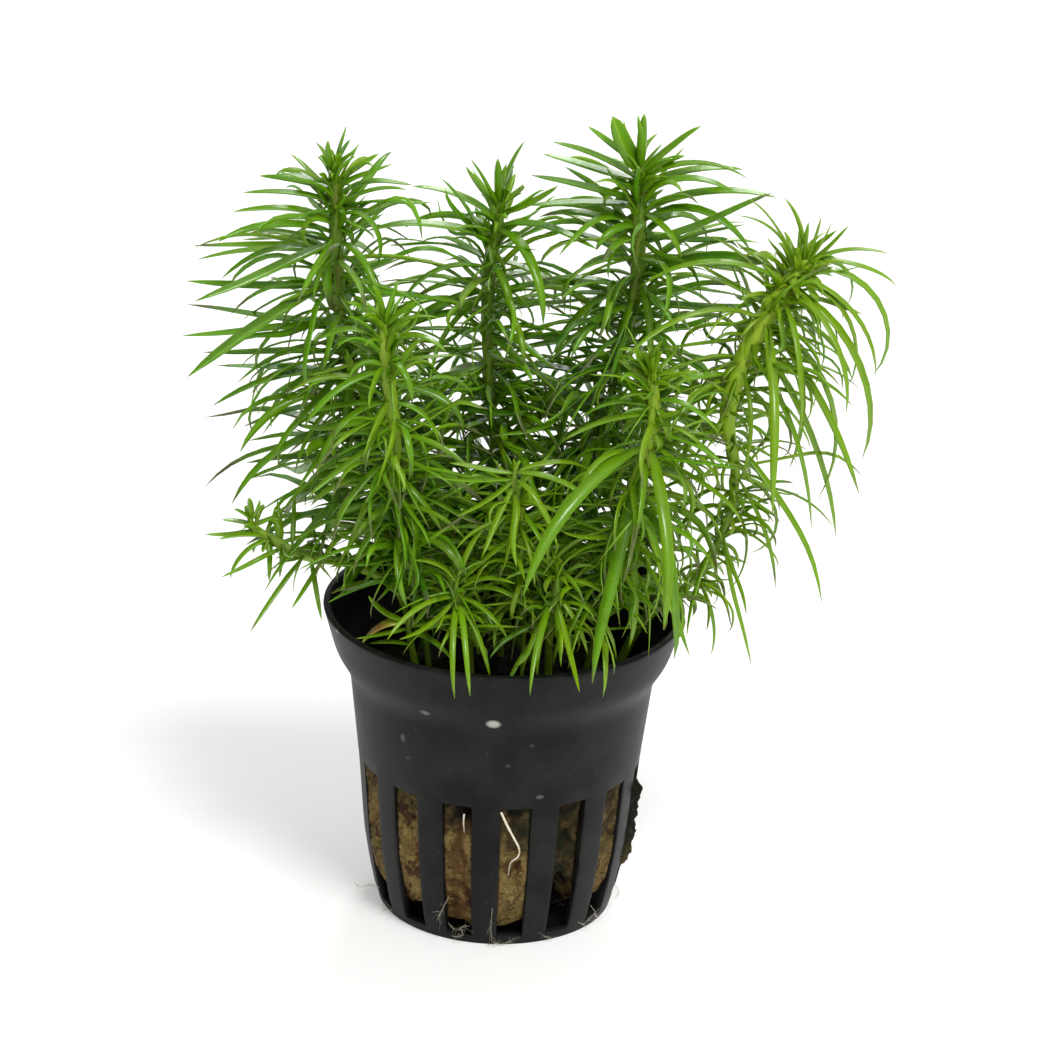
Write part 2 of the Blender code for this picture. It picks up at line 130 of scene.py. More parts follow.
# Each shoot: points of its stem from tip to foot, then (longest leaf, leaves in a whorl, sag in
# degrees), then the leaves that stand out: (mm below the tip, bearing from the front, slope at the
# leaf's foot, slope at its tip, length).
SHOOTS = {
    "back_left_shoot": (
        [(-28, 9, 115), (-27, 9, 109), (-27, 9, 100), (-26, 9, 90), (-24, 9, 79), (-19, 8, 63), (-10, 6, 48),
         (-7, 5, 32)],
        (23, 6, 30),
        [
            (1, -20, 48, 88, 6), (2, 61, 79, 54, 7), (3, 110, 33, 32, 8),
            (4, 80, 40, 19, 10), (5, 93, 36, -19, 12), (7, 70, 48, -5, 13),
            (3, -81, 14, 0, 9), (4, -105, 9, -3, 12), (6, -85, 19, -4, 14), (9, -76, 27, -11, 16),
            (11, -63, 30, -22, 20), (13, -99, -3, -7, 22), (12, -44, -8, -2, 29), (14, -84, 10, -16, 21),
            (15, -75, 32, -46, 19), (19, -95, -7, 1, 23), (18, -37, -6, -16, 34), (20, -83, 27, -54, 18),
            (25, -100, -4, 5, 24), (26, -91, 2, -10, 24), (30, -97, -1, -7, 22), (33, -83, 4, 3, 20),
            (34, -57, 23, -26, 24), (36, -111, 19, -66, 19), (38, -70, 3, -15, 18), (44, -77, 8, -4, 18),
            (42, -62, 12, -59, 25), (9, 50, 60, -116, 15), (12, 99, 36, 22, 8), (12, 39, 8, -70, 14),
            (16, -17, 56, -79, 13),
        ],
    ),
    "back_middle_shoot": (
        [(-3, 13, 109), (-3, 13, 105), (-4, 13, 99), (-4, 13, 92), (-4, 12, 87), (-3, 10, 75), (-1, 8, 49),
         (0, 8, 32)],
        (20, 6, 30),
        [
            (1, 58, 81, 58, 12), (1, 27, 78, 68, 8), (1, -50, 58, 57, 10), (1, -90, 39, 61, 8),
            (1, -10, 72, 70, 9), (10, -66, 74, 44, 17), (3, -94, 36, 1, 14), (5, -115, 25, -40, 16),
            (6, -81, 21, -11, 20), (11, -61, 26, -54, 17), (2, 70, 14, 48, 11), (4, 60, 20, -17, 18),
            (10, 26, 3, -102, 13), (5, 31, 22, -87, 21), (15, 91, 19, -14, 17), (16, 80, -2, 11, 17),
            (13, -99, 3, -43, 13), (18, -90, 3, -36, 15), (19, 40, -11, -10, 17), (21, 21, 2, -11, 19),
        ],
    ),
    "back_right_shoot": (
        [(18, 10, 117), (18, 10, 112), (18, 10, 109), (18, 10, 102), (18, 10, 95), (16, 9, 86), (12, 8, 68),
         (6, 6, 49), (4, 6, 32)],
        (21, 6, 32),
        [
            (1, 9, 88, 73, 9), (2, -81, 55, 70, 10), (2, -20, 78, 70, 10),
            (3, -81, 35, 15, 15), (3, -95, 7, 17, 15), (1, -100, 35, 33, 10), (2, 80, 50, 37, 12),
            (3, 89, 39, -30, 17), (4, 99, 26, -10, 16), (6, 79, 51, -32, 16),
            (8, 87, 31, -11, 21), (13, 60, 23, 34, 25), (10, 77, 45, -56, 20), (14, 116, 74, -98, 19),
            (19, 69, 39, -6, 21), (22, 91, -9, 12, 19), (7, -77, 8, -5, 17), (6, -56, 18, 22, 22),
            (12, -82, 41, -15, 16), (17, -104, 46, -19, 16), (21, -85, 29, -15, 15), (23, -37, 18, -53, 16),
            (23, 39, 4, -81, 13),
        ],
    ),
    "right_shoot": (
        [(43, 0, 106), (41, 0, 103), (39, -1, 100), (37, -2, 97), (35, -3, 93), (33, -4, 88), (32, -5, 84),
         (33, -5, 78), (34, -4, 71), (32, -3, 62), (28, -2, 54), (21, -1, 47), (15, 0, 32)],
        (20, 5, 75),
        [
            (1, -37, 88, 44, 13), (1, 2, 80, 62, 8), (1, 43, 61, 81, 9), (1, 61, 51, 70, 9),
            (1, 90, 34, 57, 9), (1, 91, 36, -14, 13), (1, 87, 24, -45, 15), (2, -60, 65, 38, 17),
            (3, -89, 84, 3, 14), (2, 81, 19, -126, 26), (3, 73, -8, -87, 21),
            (3, 98, 56, -124, 15), (4, 72, 1, -120, 22), (5, 33, 3, -95, 24), (5, 61, -15, -109, 32),
            (7, 15, 0, -119, 25), (8, 63, -55, -108, 27), (11, 3, -3, -91, 34), (11, 62, -43, -70, 30),
            (11, 76, -24, -116, 32), (16, 51, -40, -85, 29), (14, 74, -49, -83, 34), (30, 51, -29, -72, 29),
            (36, 52, -42, -86, 19), (46, 28, -68, -55, 21), (55, 63, -48, -106, 14), (41, 96, -50, -132, 17),
            (46, 18, -51, -12, 16), (11, -52, 33, -41, 28), (14, -90, -7, -15, 15), (5, -81, 39, -38, 24),
            (21, -47, 16, -54, 18), (24, -38, 10, -75, 16), (19, 12, -6, -115, 20),
        ],
    ),
    "front_left_shoot": (
        [(-19, -8, 97), (-19, -8, 92), (-18, -8, 88), (-18, -8, 83), (-17, -9, 78), (-17, -9, 71),
         (-15, -10, 61), (-12, -9, 49), (-10, -8, 32)],
        (17, 6, 45),
        [
            (1, -80, 55, 16, 7), (1, -28, 79, 44, 9), (1, 30, 66, 68, 9), (1, 70, 47, 40, 7),
            (2, 91, 49, -12, 9), (4, 61, 49, -35, 12), (3, -79, 34, -28, 10), (8, -60, 5, -56, 16),
            (13, -98, -1, -22, 13), (13, -49, 16, -78, 18), (18, -53, -14, -28, 17), (21, -43, -12, -60, 18),
            (28, -34, -20, -57, 14), (33, -60, -52, -51, 10), (13, 72, 11, -84, 11), (16, 31, 25, -135, 13),
            (7, 32, 42, -103, 10), (24, 57, -21, -67, 12), (20, 87, -10, -45, 13),
        ],
    ),
    "front_right_shoot": (
        [(20, -11, 93), (21, -11, 88), (21, -12, 84), (21, -12, 80), (19, -12, 75), (17, -12, 65),
         (14, -10, 50), (11, -8, 32)],
        (19, 6, 60),
        [
            (13, -37, 9, -67, 34), (16, -17, -36, -72, 34), (13, 8, 0, -95, 32), (11, 65, 12, -41, 13),
            (13, 62, 12, -127, 14), (3, 80, 61, -59, 7), (2, -79, 84, -11, 7), (1, 29, 77, 51, 6),
            (6, 60, 25, -48, 12), (7, -76, 28, -38, 12), (8, -57, 12, -20, 16), (23, 25, 25, -120, 32),
            (26, 22, -28, -122, 21), (19, 49, -67, -62, 27),
        ],
    ),
    "left_side_shoot": (
        [(-39, -2, 63), (-38, -2, 61), (-35, -3, 58), (-31, -3, 57), (-26, -4, 57), (-20, -5, 55),
         (-15, -5, 50), (-13, -4, 32)],
        (9, 4, 25),
        [
            (1, 0, 64, 60, 5), (1, -48, 47, 25, 4), (1, 55, 44, 88, 4), (2, -80, 16, 4, 5),
            (3, -90, -16, 0, 8), (5, -70, 16, -11, 8), (6, -61, 10, -77, 10), (8, -40, -2, -5, 14),
            (5, 6, -40, -70, 7), (11, -37, -32, -38, 15), (14, -30, -33, -29, 10), (12, 20, -54, -50, 10),
            (7, 186, 50, 40, 7), (9, 183, 55, 30, 9),
        ],
    ),
    "middle_front_shoot": (
        [(1, -14, 77), (1, -14, 73), (2, -14, 69), (2, -13, 62), (3, -12, 51), (3, -10, 32)],
        (13, 6, 45),
        [
            (1, -80, 7, 15, 10), (2, -70, 5, 9, 12), (2, -47, -26, -1, 12), (3, -28, -34, -38, 13),
            (2, 23, 14, -40, 18), (1, 73, 13, -37, 13), (1, 102, 30, -32, 12), (4, 2, 5, -27, 20),
        ],
    ),
    "low_left_shoot": (
        [(-7, -17, 60), (-7, -17, 57), (-6, -17, 53), (-5, -15, 48), (-4, -13, 32)],
        (13, 6, 55),
        [
            (4, -6, 14, -92, 18), (4, 7, 14, -90, 18), (3, -46, 20, -43, 15), (3, -40, -32, 5, 13),
            (3, 58, 11, -62, 11), (2, 80, 30, -57, 14), (1, 89, 51, 33, 15), (1, -87, 70, -15, 9),
            (1, 120, 81, 46, 11), (4, 36, -17, -82, 13), (2, -77, 1, -34, 10), (2, 60, 51, -12, 11),
        ],
    ),
    "low_right_shoot": (
        [(7, -17, 64), (8, -17, 60), (7, -17, 55), (7, -15, 48), (7, -12, 32)],
        (14, 6, 60),
        [
            (7, -12, 9, -60, 20), (7, -46, -37, -68, 13), (7, -23, -28, -100, 13), (7, 11, -25, -38, 12),
            (6, 50, -28, -77, 11), (6, 21, -55, -22, 18), (5, 62, -15, -87, 16), (4, 67, 24, -54, 11),
            (4, -73, 49, -35, 9), (2, 92, 60, -14, 8), (2, -58, 49, 20, 10),
        ],
    ),
    "rim_left_shoot": (
        [(-14, -13, 52), (-14, -13, 49), (-13, -12, 46), (-12, -11, 32)],
        (10, 5, 40),
        [
            (1, -79, 10, 61, 8), (2, -59, -12, -4, 9), (2, 90, 44, 70, 7),
            (3, 39, 23, -26, 11), (2, 70, 32, -33, 10), (5, -66, 22, -2, 7),
        ],
    ),
}

# Each shoot's look: how yellow-green it is from 0 to 1, how broad its leaves are that stand out and
# its other leaves, against leaf_width, how thick its stem is against the Stem setting and how light,
# and how many thin wisps grow on it
LOOKS = {
    "back_left_shoot": (0.2, 0.98, 0.95, 1.45, 0.3, 250),
    "back_middle_shoot": (0.22, 1.02, 0.95, 1.4, 0.35, 180),
    "back_right_shoot": (0.2, 1.12, 0.98, 1.5, 0.35, 190),
    "right_shoot": (0.52, 0.56, 0.8, 2.1, 1.0, 150),
    "front_left_shoot": (0.27, 0.9, 0.9, 1.4, 0.75, 115),
    "front_right_shoot": (0.38, 0.8, 0.8, 1.35, 0.9, 110),
    "left_side_shoot": (0.42, 0.72, 0.8, 1.0, 0.6, 44),
    "middle_front_shoot": (0.42, 0.68, 0.74, 0.8, 0.4, 60),
    "low_left_shoot": (0.48, 0.62, 0.66, 0.8, 0.4, 26),
    "low_right_shoot": (0.48, 0.62, 0.66, 0.8, 0.4, 30),
    "rim_left_shoot": (0.4, 0.7, 0.75, 0.8, 0.4, 6),
}

# Tall shoots that carry a second growth of leaves, and from where to where below the tip, in mm
SECOND_GROWTH = {
    "back_left_shoot": (28, 90), "back_middle_shoot": (24, 90), "back_right_shoot": (18, 90),
    "right_shoot": (3, 30), "front_left_shoot": (18, 70), "front_right_shoot": (14, 60),
}

# Points of a leaf's grid, along it and around it, and the sides of the round pieces
LEAF_ROWS = 11
LEAF_COLUMNS = 5
STEM_SIDES = 12
ROOT_SIDES = 10
HAIR_SIDES = 5
FIBRE_SIDES = 4

# An old yellow leaf just inside the rim: its shoot, and the five numbers of a leaf
OLD_LEAF = ("rim_left_shoot", (1.0, -72, 12, -66, 9.5))

# Leaves that end bluntly, by shoot and kind: (width in mm, how blunt, roll about its own line, in
# radians)
BLUNT = {
    ("back_right_shoot", 2): (2.9, 8.0, -1.1), ("back_right_shoot", 15): (1.9, 9.0, 0.9),
    ("rim_left_shoot", 1): (1.1, 6.0, -0.4), ("rim_left_shoot", OLD): (1.9, 9.0, -0.6),
}

# Patches of algae on the wool: (bearing, spread, strength, height at which it begins, over how many
# mm it grows up to its full strength, and least share of it). Over less than 0 mm it grows downwards
ALGAE = [
    (32, 11, 0.9, 5.0, 6.0, 0.35), (80, 14, 0.9, 0.0, 1.0, 1.0), (12, 6, 0.8, 14.5, 3.0, 0.0),
    (56, 9, 0.6, 11.0, 5.0, 0.0), (-40, 12, 0.4, 20.0, 3.0, 0.0), (-64, 6, 0.22, 20.0, -8.0, 0.0),
]

# Places on the wool darkened with painted shade towards the tops of two slots, given in the same way
SHADE_PATCHES = [(8, 7, 0.8, 15.5, 5.0, 0.0), (56, 9, 0.45, 12.0, 5.0, 0.0)]

# Lump of wool pushed out through the slot on the right: (height, how far out it reaches), its
# bearing, and how far out its flat back is
LUMP = [(6.6, 20.8), (9.5, 22.1), (13.5, 22.3), (17.5, 22.5), (20.5, 23.0), (22.6, 22.1)]
LUMP_BEARING = 80.0
LUMP_BACK = 18.8

# Roots lying in the front slots: middle lines, bearing from the front and height
WHITE_ROOT = [(1.9, 24.2), (4.4, 22.0), (7.6, 19.6), (9.8, 17.8), (9.4, 16.4), (6.6, 15.4), (5.8, 13.2)]
SHORT_ROOT = [(-12.9, 23.4), (-13.1, 21.8), (-12.7, 20.2)]

# Fine root hairs around the foot of the pot: (bearing, height, distance out from the wall)
ROOT_HAIRS = [
    [(-19.3, 8.6, 0.2), (-22.0, 6.4, 0.5), (-26.4, 3.3, 0.2)],
    [(-20.5, 3.4, 0.1), (-18.0, 2.6, 0.4), (-16.3, 2.2, 0.1), (-13.0, 3.4, 0.3), (-10.3, 3.4, 0.1)],
    [(-19.5, 0.9, 0.3), (-17.0, 1.0, 0.5), (-14.0, 1.4, 0.1), (-15.0, 2.6, 0.1)],
    [(-0.3, 7.0, 0.1), (-0.6, 4.0, 0.3), (-0.2, 1.2, 0.4), (3.0, 0.4, 0.7), (7.7, 0.8, 0.5),
     (11.0, 1.3, 0.1)],
    [(-3.0, 0.5, 0.9), (0.5, 0.3, 0.8), (4.0, 0.5, 0.3)],
    [(25.1, 1.1, 0.1), (27.5, 0.7, 0.5), (29.0, 0.4, 0.6)],
    [(-66.0, 3.8, 0.1), (-70.0, 3.7, 1.0), (-73.0, 3.0, 2.6), (-77.0, 3.2, 3.2)],
    [(50.2, 4.4, 0.1), (53.0, 3.0, 0.5), (57.6, 1.4, 0.2), (61.0, 0.6, 0.6)],
    [(44.0, 2.0, 0.1), (48.0, 1.3, 0.5), (54.0, 1.6, 0.1)],
    [(-58.0, 1.0, 0.1), (-63.0, 0.5, 0.7), (-69.0, 0.5, 0.5)],
    [(72.0, 5.0, 0.1), (76.0, 3.0, 0.9), (80.0, 1.0, 0.7)],
]


def linear(code):
    """A colour given as sRGB hex, in Blender's linear values."""
    srgb = np.array([int(code[k:k + 2], 16) for k in (1, 3, 5)]) / 255.0
    rgb = np.where(srgb <= 0.04045, srgb / 12.92, ((srgb + 0.055) / 1.055) ** 2.4)
    return (*rgb.tolist(), 1.0)


def colour_property(name, description, code):
    """A colour among the settings, its default given as sRGB hex."""
    return FloatVectorProperty(
        name=name, description=description, subtype="COLOR", size=4, default=linear(code))


def length_property(name, description, default, least=0.0):
    """A length among the settings, in metres."""
    return FloatProperty(name=name, description=description, default=default, unit="LENGTH", min=least)


def angle_property(name, description, degrees):
    """An angle among the settings."""
    return FloatProperty(name=name, description=description, default=np.radians(degrees), subtype="ANGLE")


class PotSettings(bpy.types.PropertyGroup):
    wall: length_property("Wall", "Thickness of the pot's wall", 0.001, 0.0005)
    edge: length_property("Edge", "Rounding of the moulded edges", 0.00016)
    plastic: colour_property("Plastic", "Colour of the pot", "#0c0d0d")
    dried: colour_property("Dried spots", "Colour of dried water spots", "#c9c9c0")


class WoolSettings(bpy.types.PropertyGroup):
    relief: length_property("Relief", "Depth of the wool's lumps", 0.0003)
    tan: colour_property("Tan", "Main colour of the wool", "#8c7847")
    brown: colour_property("Brown", "Darker patches", "#5a3e20")
    algae: colour_property("Algae", "Dark green growth on the wool", "#262c17")


class FoliageSettings(bpy.types.PropertyGroup):
    stem: length_property("Stem", "Radius of a stem", 0.0008, 0.0002)
    leaf: length_property("Leaf", "Thickness of a leaf along its midrib", 0.0003, 0.0001)
    green: colour_property("Green", "Main leaf colour", "#5a900a")
    deep: colour_property("Deep green", "Darkest leaves", "#2e600b")
    yellow: colour_property("Yellow green", "Leaves grown in full light", "#86a214")
    tip: colour_property("Tip", "Dry leaf tips", "#5c563c")


class RootSettings(bpy.types.PropertyGroup):
    radius: length_property("Radius", "Radius of the two thick roots", 0.00018, 0.00005)
    hair: length_property("Hair", "Radius of the fine root hairs", 0.000036, 0.00002)
    pale: colour_property("Pale", "Colour of the roots", "#e2dcc8")


class StageSettings(bpy.types.PropertyGroup):
    distance: length_property("Distance", "From the camera to the plant", 0.75)
    height: angle_property("Height", "Angle at which the camera looks down", 22.8)
    roll: angle_property("Roll", "Camera's turn about its own axis", 2.1)
    floor: colour_property("Floor", "Colour of the floor", "#dcdcda")


class PlantSettings(bpy.types.PropertyGroup):
    pot: PointerProperty(type=PotSettings)
    wool: PointerProperty(type=WoolSettings)
    foliage: PointerProperty(type=FoliageSettings)
    roots: PointerProperty(type=RootSettings)
    stage: PointerProperty(type=StageSettings)


def smooth(points, per_span=8):
    """A curve through all the points: a cubic on each span, with a slope that runs between the neighbours."""
    p = np.asarray(points, float)
    p = np.vstack([2 * p[0] - p[1], p, 2 * p[-1] - p[-2]])
    t = (np.arange(per_span) / per_span)[:, None]
    spans = [
        0.5 * (2 * b + (c - a) * t + (2 * a - 5 * b + 4 * c - d) * t**2 + (3 * b - a - 3 * c + d) * t**3)
        for a, b, c, d in zip(p[:-3], p[1:-2], p[2:-1], p[3:])
    ]
    return np.vstack(spans + [p[-2:-1]])


def along(line, at):
    """Points at the given distances from the line's start, and the line's length."""
    run = np.concatenate([[0.0], np.cumsum(np.linalg.norm(np.diff(line, axis=0), axis=1))])
    return np.stack([np.interp(at, run, line[:, i]) for i in range(3)], axis=-1), run[-1]


def stem_line(points):
    """Stem from tip to foot, in pieces of about 8 mm."""
    curve = smooth(points)
    run = along(curve, 0)[1]
    return along(curve, np.concatenate([[0.0], np.arange(3.0, run - 9.0, 8.0), [run - 5.0, run]]))[0]


def leaf_line(foot, bearing, rise, fall, length):
    """Middle line of a leaf: it keeps its bearing while its slope turns evenly from rise to fall."""
    steps = 16
    turn = np.radians(rise + (fall - rise) * (np.arange(steps) + 0.5) / steps)
    out = np.array([np.sin(np.radians(bearing)), -np.cos(np.radians(bearing)), 0.0])
    step = np.outer(np.cos(turn), out) + np.outer(np.sin(turn), [0.0, 0.0, 1.0])
    return np.vstack([foot, foot + np.cumsum(step * (length / steps), axis=0)])


def whorls(index, run, longest, count, sag):
    """Leaves of one shoot by rule, from its tip down, as (mm below tip, bearing, rise, fall, length)."""
    rng = np.random.default_rng(SEED + index)
    leaves = []
    at = 0.6
    turn = rng.uniform(0, 60)
    while at < run - 17.0:
        grown = min(1.0, at / (0.55 * longest))
        for k in range(count):
            bearing = turn + 360.0 * k / count + rng.uniform(-14, 14)
            length = longest * (0.08 + 0.92 * grown**0.65) * rng.uniform(0.72, 1.02)
            rise = 78 - 66 * grown**0.7 - 0.25 * max(0.0, at - 15) + rng.uniform(-14, 14)
            fall = rise - (8 + sag * grown) * rng.uniform(0.5, 1.5)
            leaves.append((at, bearing, rise, max(fall, -120.0), length))
        turn += 180.0 / count + rng.uniform(-8, 8)
        at += 1.3 + 1.5 * grown + rng.uniform(-0.2, 0.2)
    return leaves


def loosened(index, name, rows):
    """The rule's leaves that fill in, each turned a little off the rule, and some of them hanging.

    The youngest are shorter, and so are those low on the right shoot, where the long ones stand out,
    on its right most of all, and before its stem. Low on the back left shoot they are longer.
    """
    rng = np.random.default_rng(SEED + 20 + index)
    at, bearing, rise, fall, length = np.array(rows).T
    older = np.clip(at / 12.0, 0.2, 1.0)
    lift = rng.normal(0, 12, len(at)) * older
    hang = rng.uniform(20, 80, len(at)) * (rng.uniform(0, 1, len(at)) < 0.3) * older
    length = length * np.clip(0.6 + at / 12.0, 0.6, 1.0)
    if name == "right_shoot":
        length = length * np.interp(at, [20, 26, 44, 52], [1.0, 0.65, 0.65, 0.45])
        length = length * np.where(turned(bearing, -10.0) < 48, 0.5, 1.0)
        length = length * np.where(at < 24, 1.0, np.where(turned(bearing, 90.0) < 60, 0.72, 1.15))
    elif name == "back_left_shoot":
        length = length * np.where(at > 42, 1.2, 1.0)
    bearing = bearing + rng.normal(0, 9, len(at))
    return list(zip(at, bearing, rise + lift, np.maximum(fall + lift - hang, -140), length))


def second_growth(index, name, run, habit):
    """A second set of the rule's leaves, on a stretch of each tall shoot, longer on one's left side."""
    begin, end = SECOND_GROWTH.get(name, (0, 0))
    left = 12.0 if name == "back_right_shoot" else 0.0
    return [
        row for row in whorls(index + len(SHOOTS), run, *habit)
        if begin - left * (turned(row[1], -90.0) < 60) < row[0] < end
    ]


def wisps(index, name, run):
    """Thin leaves of side growth, scattered over a shoot, each curling down from a random slope.

    The nearer the tip, the shorter they are. Those of the right shoot are mostly near its tip and
    on its right. A tall shoot's first ones are the young leaves that stand up close about its tip.
    """
    rng = np.random.default_rng(SEED + 40 + index)
    count = LOOKS[name][5]
    on_right = name == "right_shoot"
    at = 3.0 + (run - 19.0) * rng.uniform(0, 1, count) ** (1.8 if on_right else 0.75)
    rise = rng.normal(20, 32, count)
    fall = np.maximum(rise - rng.uniform(30, 130, count), -140)
    length = rng.uniform(6, 20 if run > TALL else 14, count) * np.clip(at / 14.0, 0.4, 1.0)
    bearing = rng.uniform(0, 360, count)
    if on_right:
        length = length * np.where(at < 40, 1.0, 0.6)
        bearing = np.where(rng.uniform(0, 1, count) < 0.5, rng.normal(85, 40, count), bearing)
    if run > TALL:
        young = np.arange(count) < YOUNG_COUNT
        at = np.where(young, rng.uniform(0.5, 11, count), at)
        rise = np.where(young, rng.normal(58, 12, count), rise)
        fall = np.where(young, rise - rng.uniform(0, 50, count), fall)
        length = np.where(young, rng.uniform(4.5, 8.5, count), length)
    return list(zip(at, bearing, rise, fall, length))


def polar(bearing, radius, z):
    """Points at bearings from the front, at a distance from the pot's axis and a height."""
    a = np.radians(bearing)
    return np.stack(np.broadcast_arrays(radius * np.sin(a), -radius * np.cos(a), z), axis=-1)


def wall(outline, z):
    """Radius of the pot's outline at a height."""
    r, h = np.array(outline).T
    return np.interp(z, h[::-1], r[::-1])


def turned(a, b):
    """Angle between two bearings."""
    return abs((a - b + 180.0) % 360.0 - 180.0)


def clear_of_pot(line, room):
    """True where a leaf neither meets the pot's wall nor goes into the plug."""
    r = np.hypot(line[:, 0], line[:, 1])
    z = line[:, 2]
    outside = r > RIM_R + room
    above = z > RIM_Z + room
    inside = (r < wall(POT_INNER, z) - room) & (z > PLUG_TOP + 0.5 + room)
    return bool((outside | above | inside).all())


def in_bare_mouth(line):
    """True where a leaf reaches into the left of the pot's mouth, or low into its front: both stay bare."""
    bearing = np.degrees(np.arctan2(line[:, 0], -line[:, 1]))
    reach = np.hypot(line[:, 0], line[:, 1])
    left = (bearing < -36) & (bearing > -110) & (reach > 15.0) & (line[:, 2] < 53.0)
    front = (bearing > -50) & (bearing < 100) & (reach > 9.0) & (reach < RIM_R) & (line[:, 2] < 46.5)
    return bool((left | front).any())


def leaf_width(length):
    """Short leaves are about 1 mm wide, the longest 2.5 mm."""
    return 1.0 + 1.5 * (length / 34.0) ** 3


def in_box(line):
    """True where a leaf stays within the box of the solids."""
    low, high = np.array(CAD_BOX) / MM
    return bool((line > low - 0.3).all() and (line < high + 0.3).all())


def settled(foot, leaf, others):
    """The leaf, or its nearest small turn, that keeps clear of the pot and of other shoots."""
    at, bearing, rise, fall, length = leaf
    for aside, lift in NUDGES:
        turned_leaf = (bearing + aside, rise + lift, fall + lift, length)
        line = leaf_line(foot, *turned_leaf)
        apart = np.linalg.norm(line[:, None] - others[None], axis=2).min()
        if clear_of_pot(line, 0.5 * leaf_width(length) + 0.5) and apart > SPACING:
            return (at, *turned_leaf), line
    return None, None


def is_solid(name, place, leaf):
    """True for the rule's leaves that are solids: one in 19, and one in 7 behind a back shoot."""
    behind = name.startswith("back") and turned(leaf[1], 180.0) < 60
    return place % (BACK_STEP if behind else LEAF_STEP) == 0


def rows_of(kind, index, name, run):
    """A shoot's leaves of one kind, as (mm below the tip, bearing, rise, fall, length)."""
    _, habit, picked = SHOOTS[name]
    if kind == STANDING:
        return picked
    if kind == WISP:
        return wisps(index, name, run)
    rows = [
        row for place, row in enumerate(whorls(index, run, *habit))
        if is_solid(name, place, row) == (kind == BY_RULE)
        and not any(abs(p[0] - row[0]) < 1.6 and turned(p[1], row[1]) < 24 for p in picked)
    ]
    if kind == BY_RULE:
        return rows
    return loosened(index, name, rows + second_growth(index, name, run, habit))


def plan():
    """Stem line of every shoot, and its leaves as rows: foot, the five numbers of a leaf, its kind.

    The leaves that stand out come first, then the rule's leaves that are solids, and these keep
    clear of the other shoots. The rest of the rule's leaves fill in, with a second growth low on
    the tall shoots, and then the wisps: they only keep clear of other stems.
    """
    stems = {name: stem_line(points) for name, (points, _, _) in SHOOTS.items()}
    runs = {name: along(stem, 0)[1] for name, stem in stems.items()}
    taken = {name: [along(stem, np.arange(0, runs[name], PLACES))[0]] for name, stem in stems.items()}
    bare = {name: [lines[0]] for name, lines in taken.items()}
    leaves = {name: [] for name in SHOOTS}
    for kind in (STANDING, BY_RULE, FILL_IN, WISP):
        loose = kind < 0
        for index, name in enumerate(SHOOTS):
            shunned = bare if loose else taken
            others = np.vstack([line for other in SHOOTS if other != name for line in shunned[other]])
            for place, leaf in enumerate(rows_of(kind, index, name, runs[name])):
                foot = along(stems[name], leaf[0])[0]
                found, line = settled(foot, leaf, others)
                while found and loose and found[4] > 4.0 and not in_box(line):
                    found = (*found[:4], 0.85 * found[4])
                    line = leaf_line(foot, *found[1:])
                if found and not (loose and in_bare_mouth(line)):
                    leaves[name].append((*foot, *found, kind + place if kind == STANDING else kind))
                    if not loose:
                        taken[name].append(along(line, np.arange(0, along(line, 0)[1], PLACES))[0])
    name, leaf = OLD_LEAF
    leaves[name].append((*along(stems[name], leaf[0])[0], *leaf, OLD))
    return stems, {name: np.array(rows, float) for name, rows in leaves.items()}


def rough(points, size, seed):
    """Soft lumps about `size` mm apart: the sum of plane sine waves in random directions, spread about 1."""
    waves = 28
    rng = np.random.default_rng(seed)
    ways = rng.normal(size=(waves, 3))
    ways *= (2 * np.pi / (size * rng.uniform(0.7, 1.5, waves)) / np.linalg.norm(ways, axis=1))[:, None]
    return np.sin(points @ ways.T + rng.uniform(0, 2 * np.pi, waves)).sum(axis=-1) * np.sqrt(2.0 / waves)


def grid_faces(rows, columns):
    """Quads between the points of a grid whose last column is joined to its first."""
    row = np.arange(rows - 1)[:, None] * columns
    column = np.arange(columns)[None]
    after = (column + 1) % columns
    corners = (row + column, row + after, row + columns + after, row + columns + column)
    return np.stack(corners, axis=-1).reshape(-1, 4)


def tube_faces(count, rows, columns):
    """Faces of `count` closed tubes of rows x columns points each: their quads, and a cap on both ends."""
    start = np.arange(count)[:, None, None] * rows * columns
    quads = (grid_faces(rows, columns)[None] + start).reshape(-1, 4)
    ring = np.arange(columns)
    ends = np.stack([ring[::-1], ring + (rows - 1) * columns])
    return [quads, (ends[None] + start).reshape(-1, columns)]


def strands(lines, radii, sides):
    """Round tubes along many lines at once, as points (line, step, side).

    A ring lies across the line at each step: radius x (cos, sin) of the side's angle, in two
    directions that turn as little as possible from one step to the next.
    """
    lines = np.asarray(lines, float)
    ahead = np.gradient(lines, axis=1)
    ahead /= np.linalg.norm(ahead, axis=2, keepdims=True)
    least = np.eye(3)[np.argmin(np.abs(lines[:, -1] - lines[:, 0]), axis=1)]
    across = [least]
    for step in range(lines.shape[1]):
        kept = across[-1] - ahead[:, step] * (across[-1] * ahead[:, step]).sum(1, keepdims=True)
        across.append(kept / np.linalg.norm(kept, axis=1, keepdims=True))
    across = np.stack(across[1:], axis=1)
    up = np.cross(ahead, across)
    angle = 2 * np.pi * np.arange(sides) / sides
    ring = np.cos(angle)[:, None] * across[:, :, None] + np.sin(angle)[:, None] * up[:, :, None]
    return lines[:, :, None] + np.asarray(radii)[..., None, None] * ring


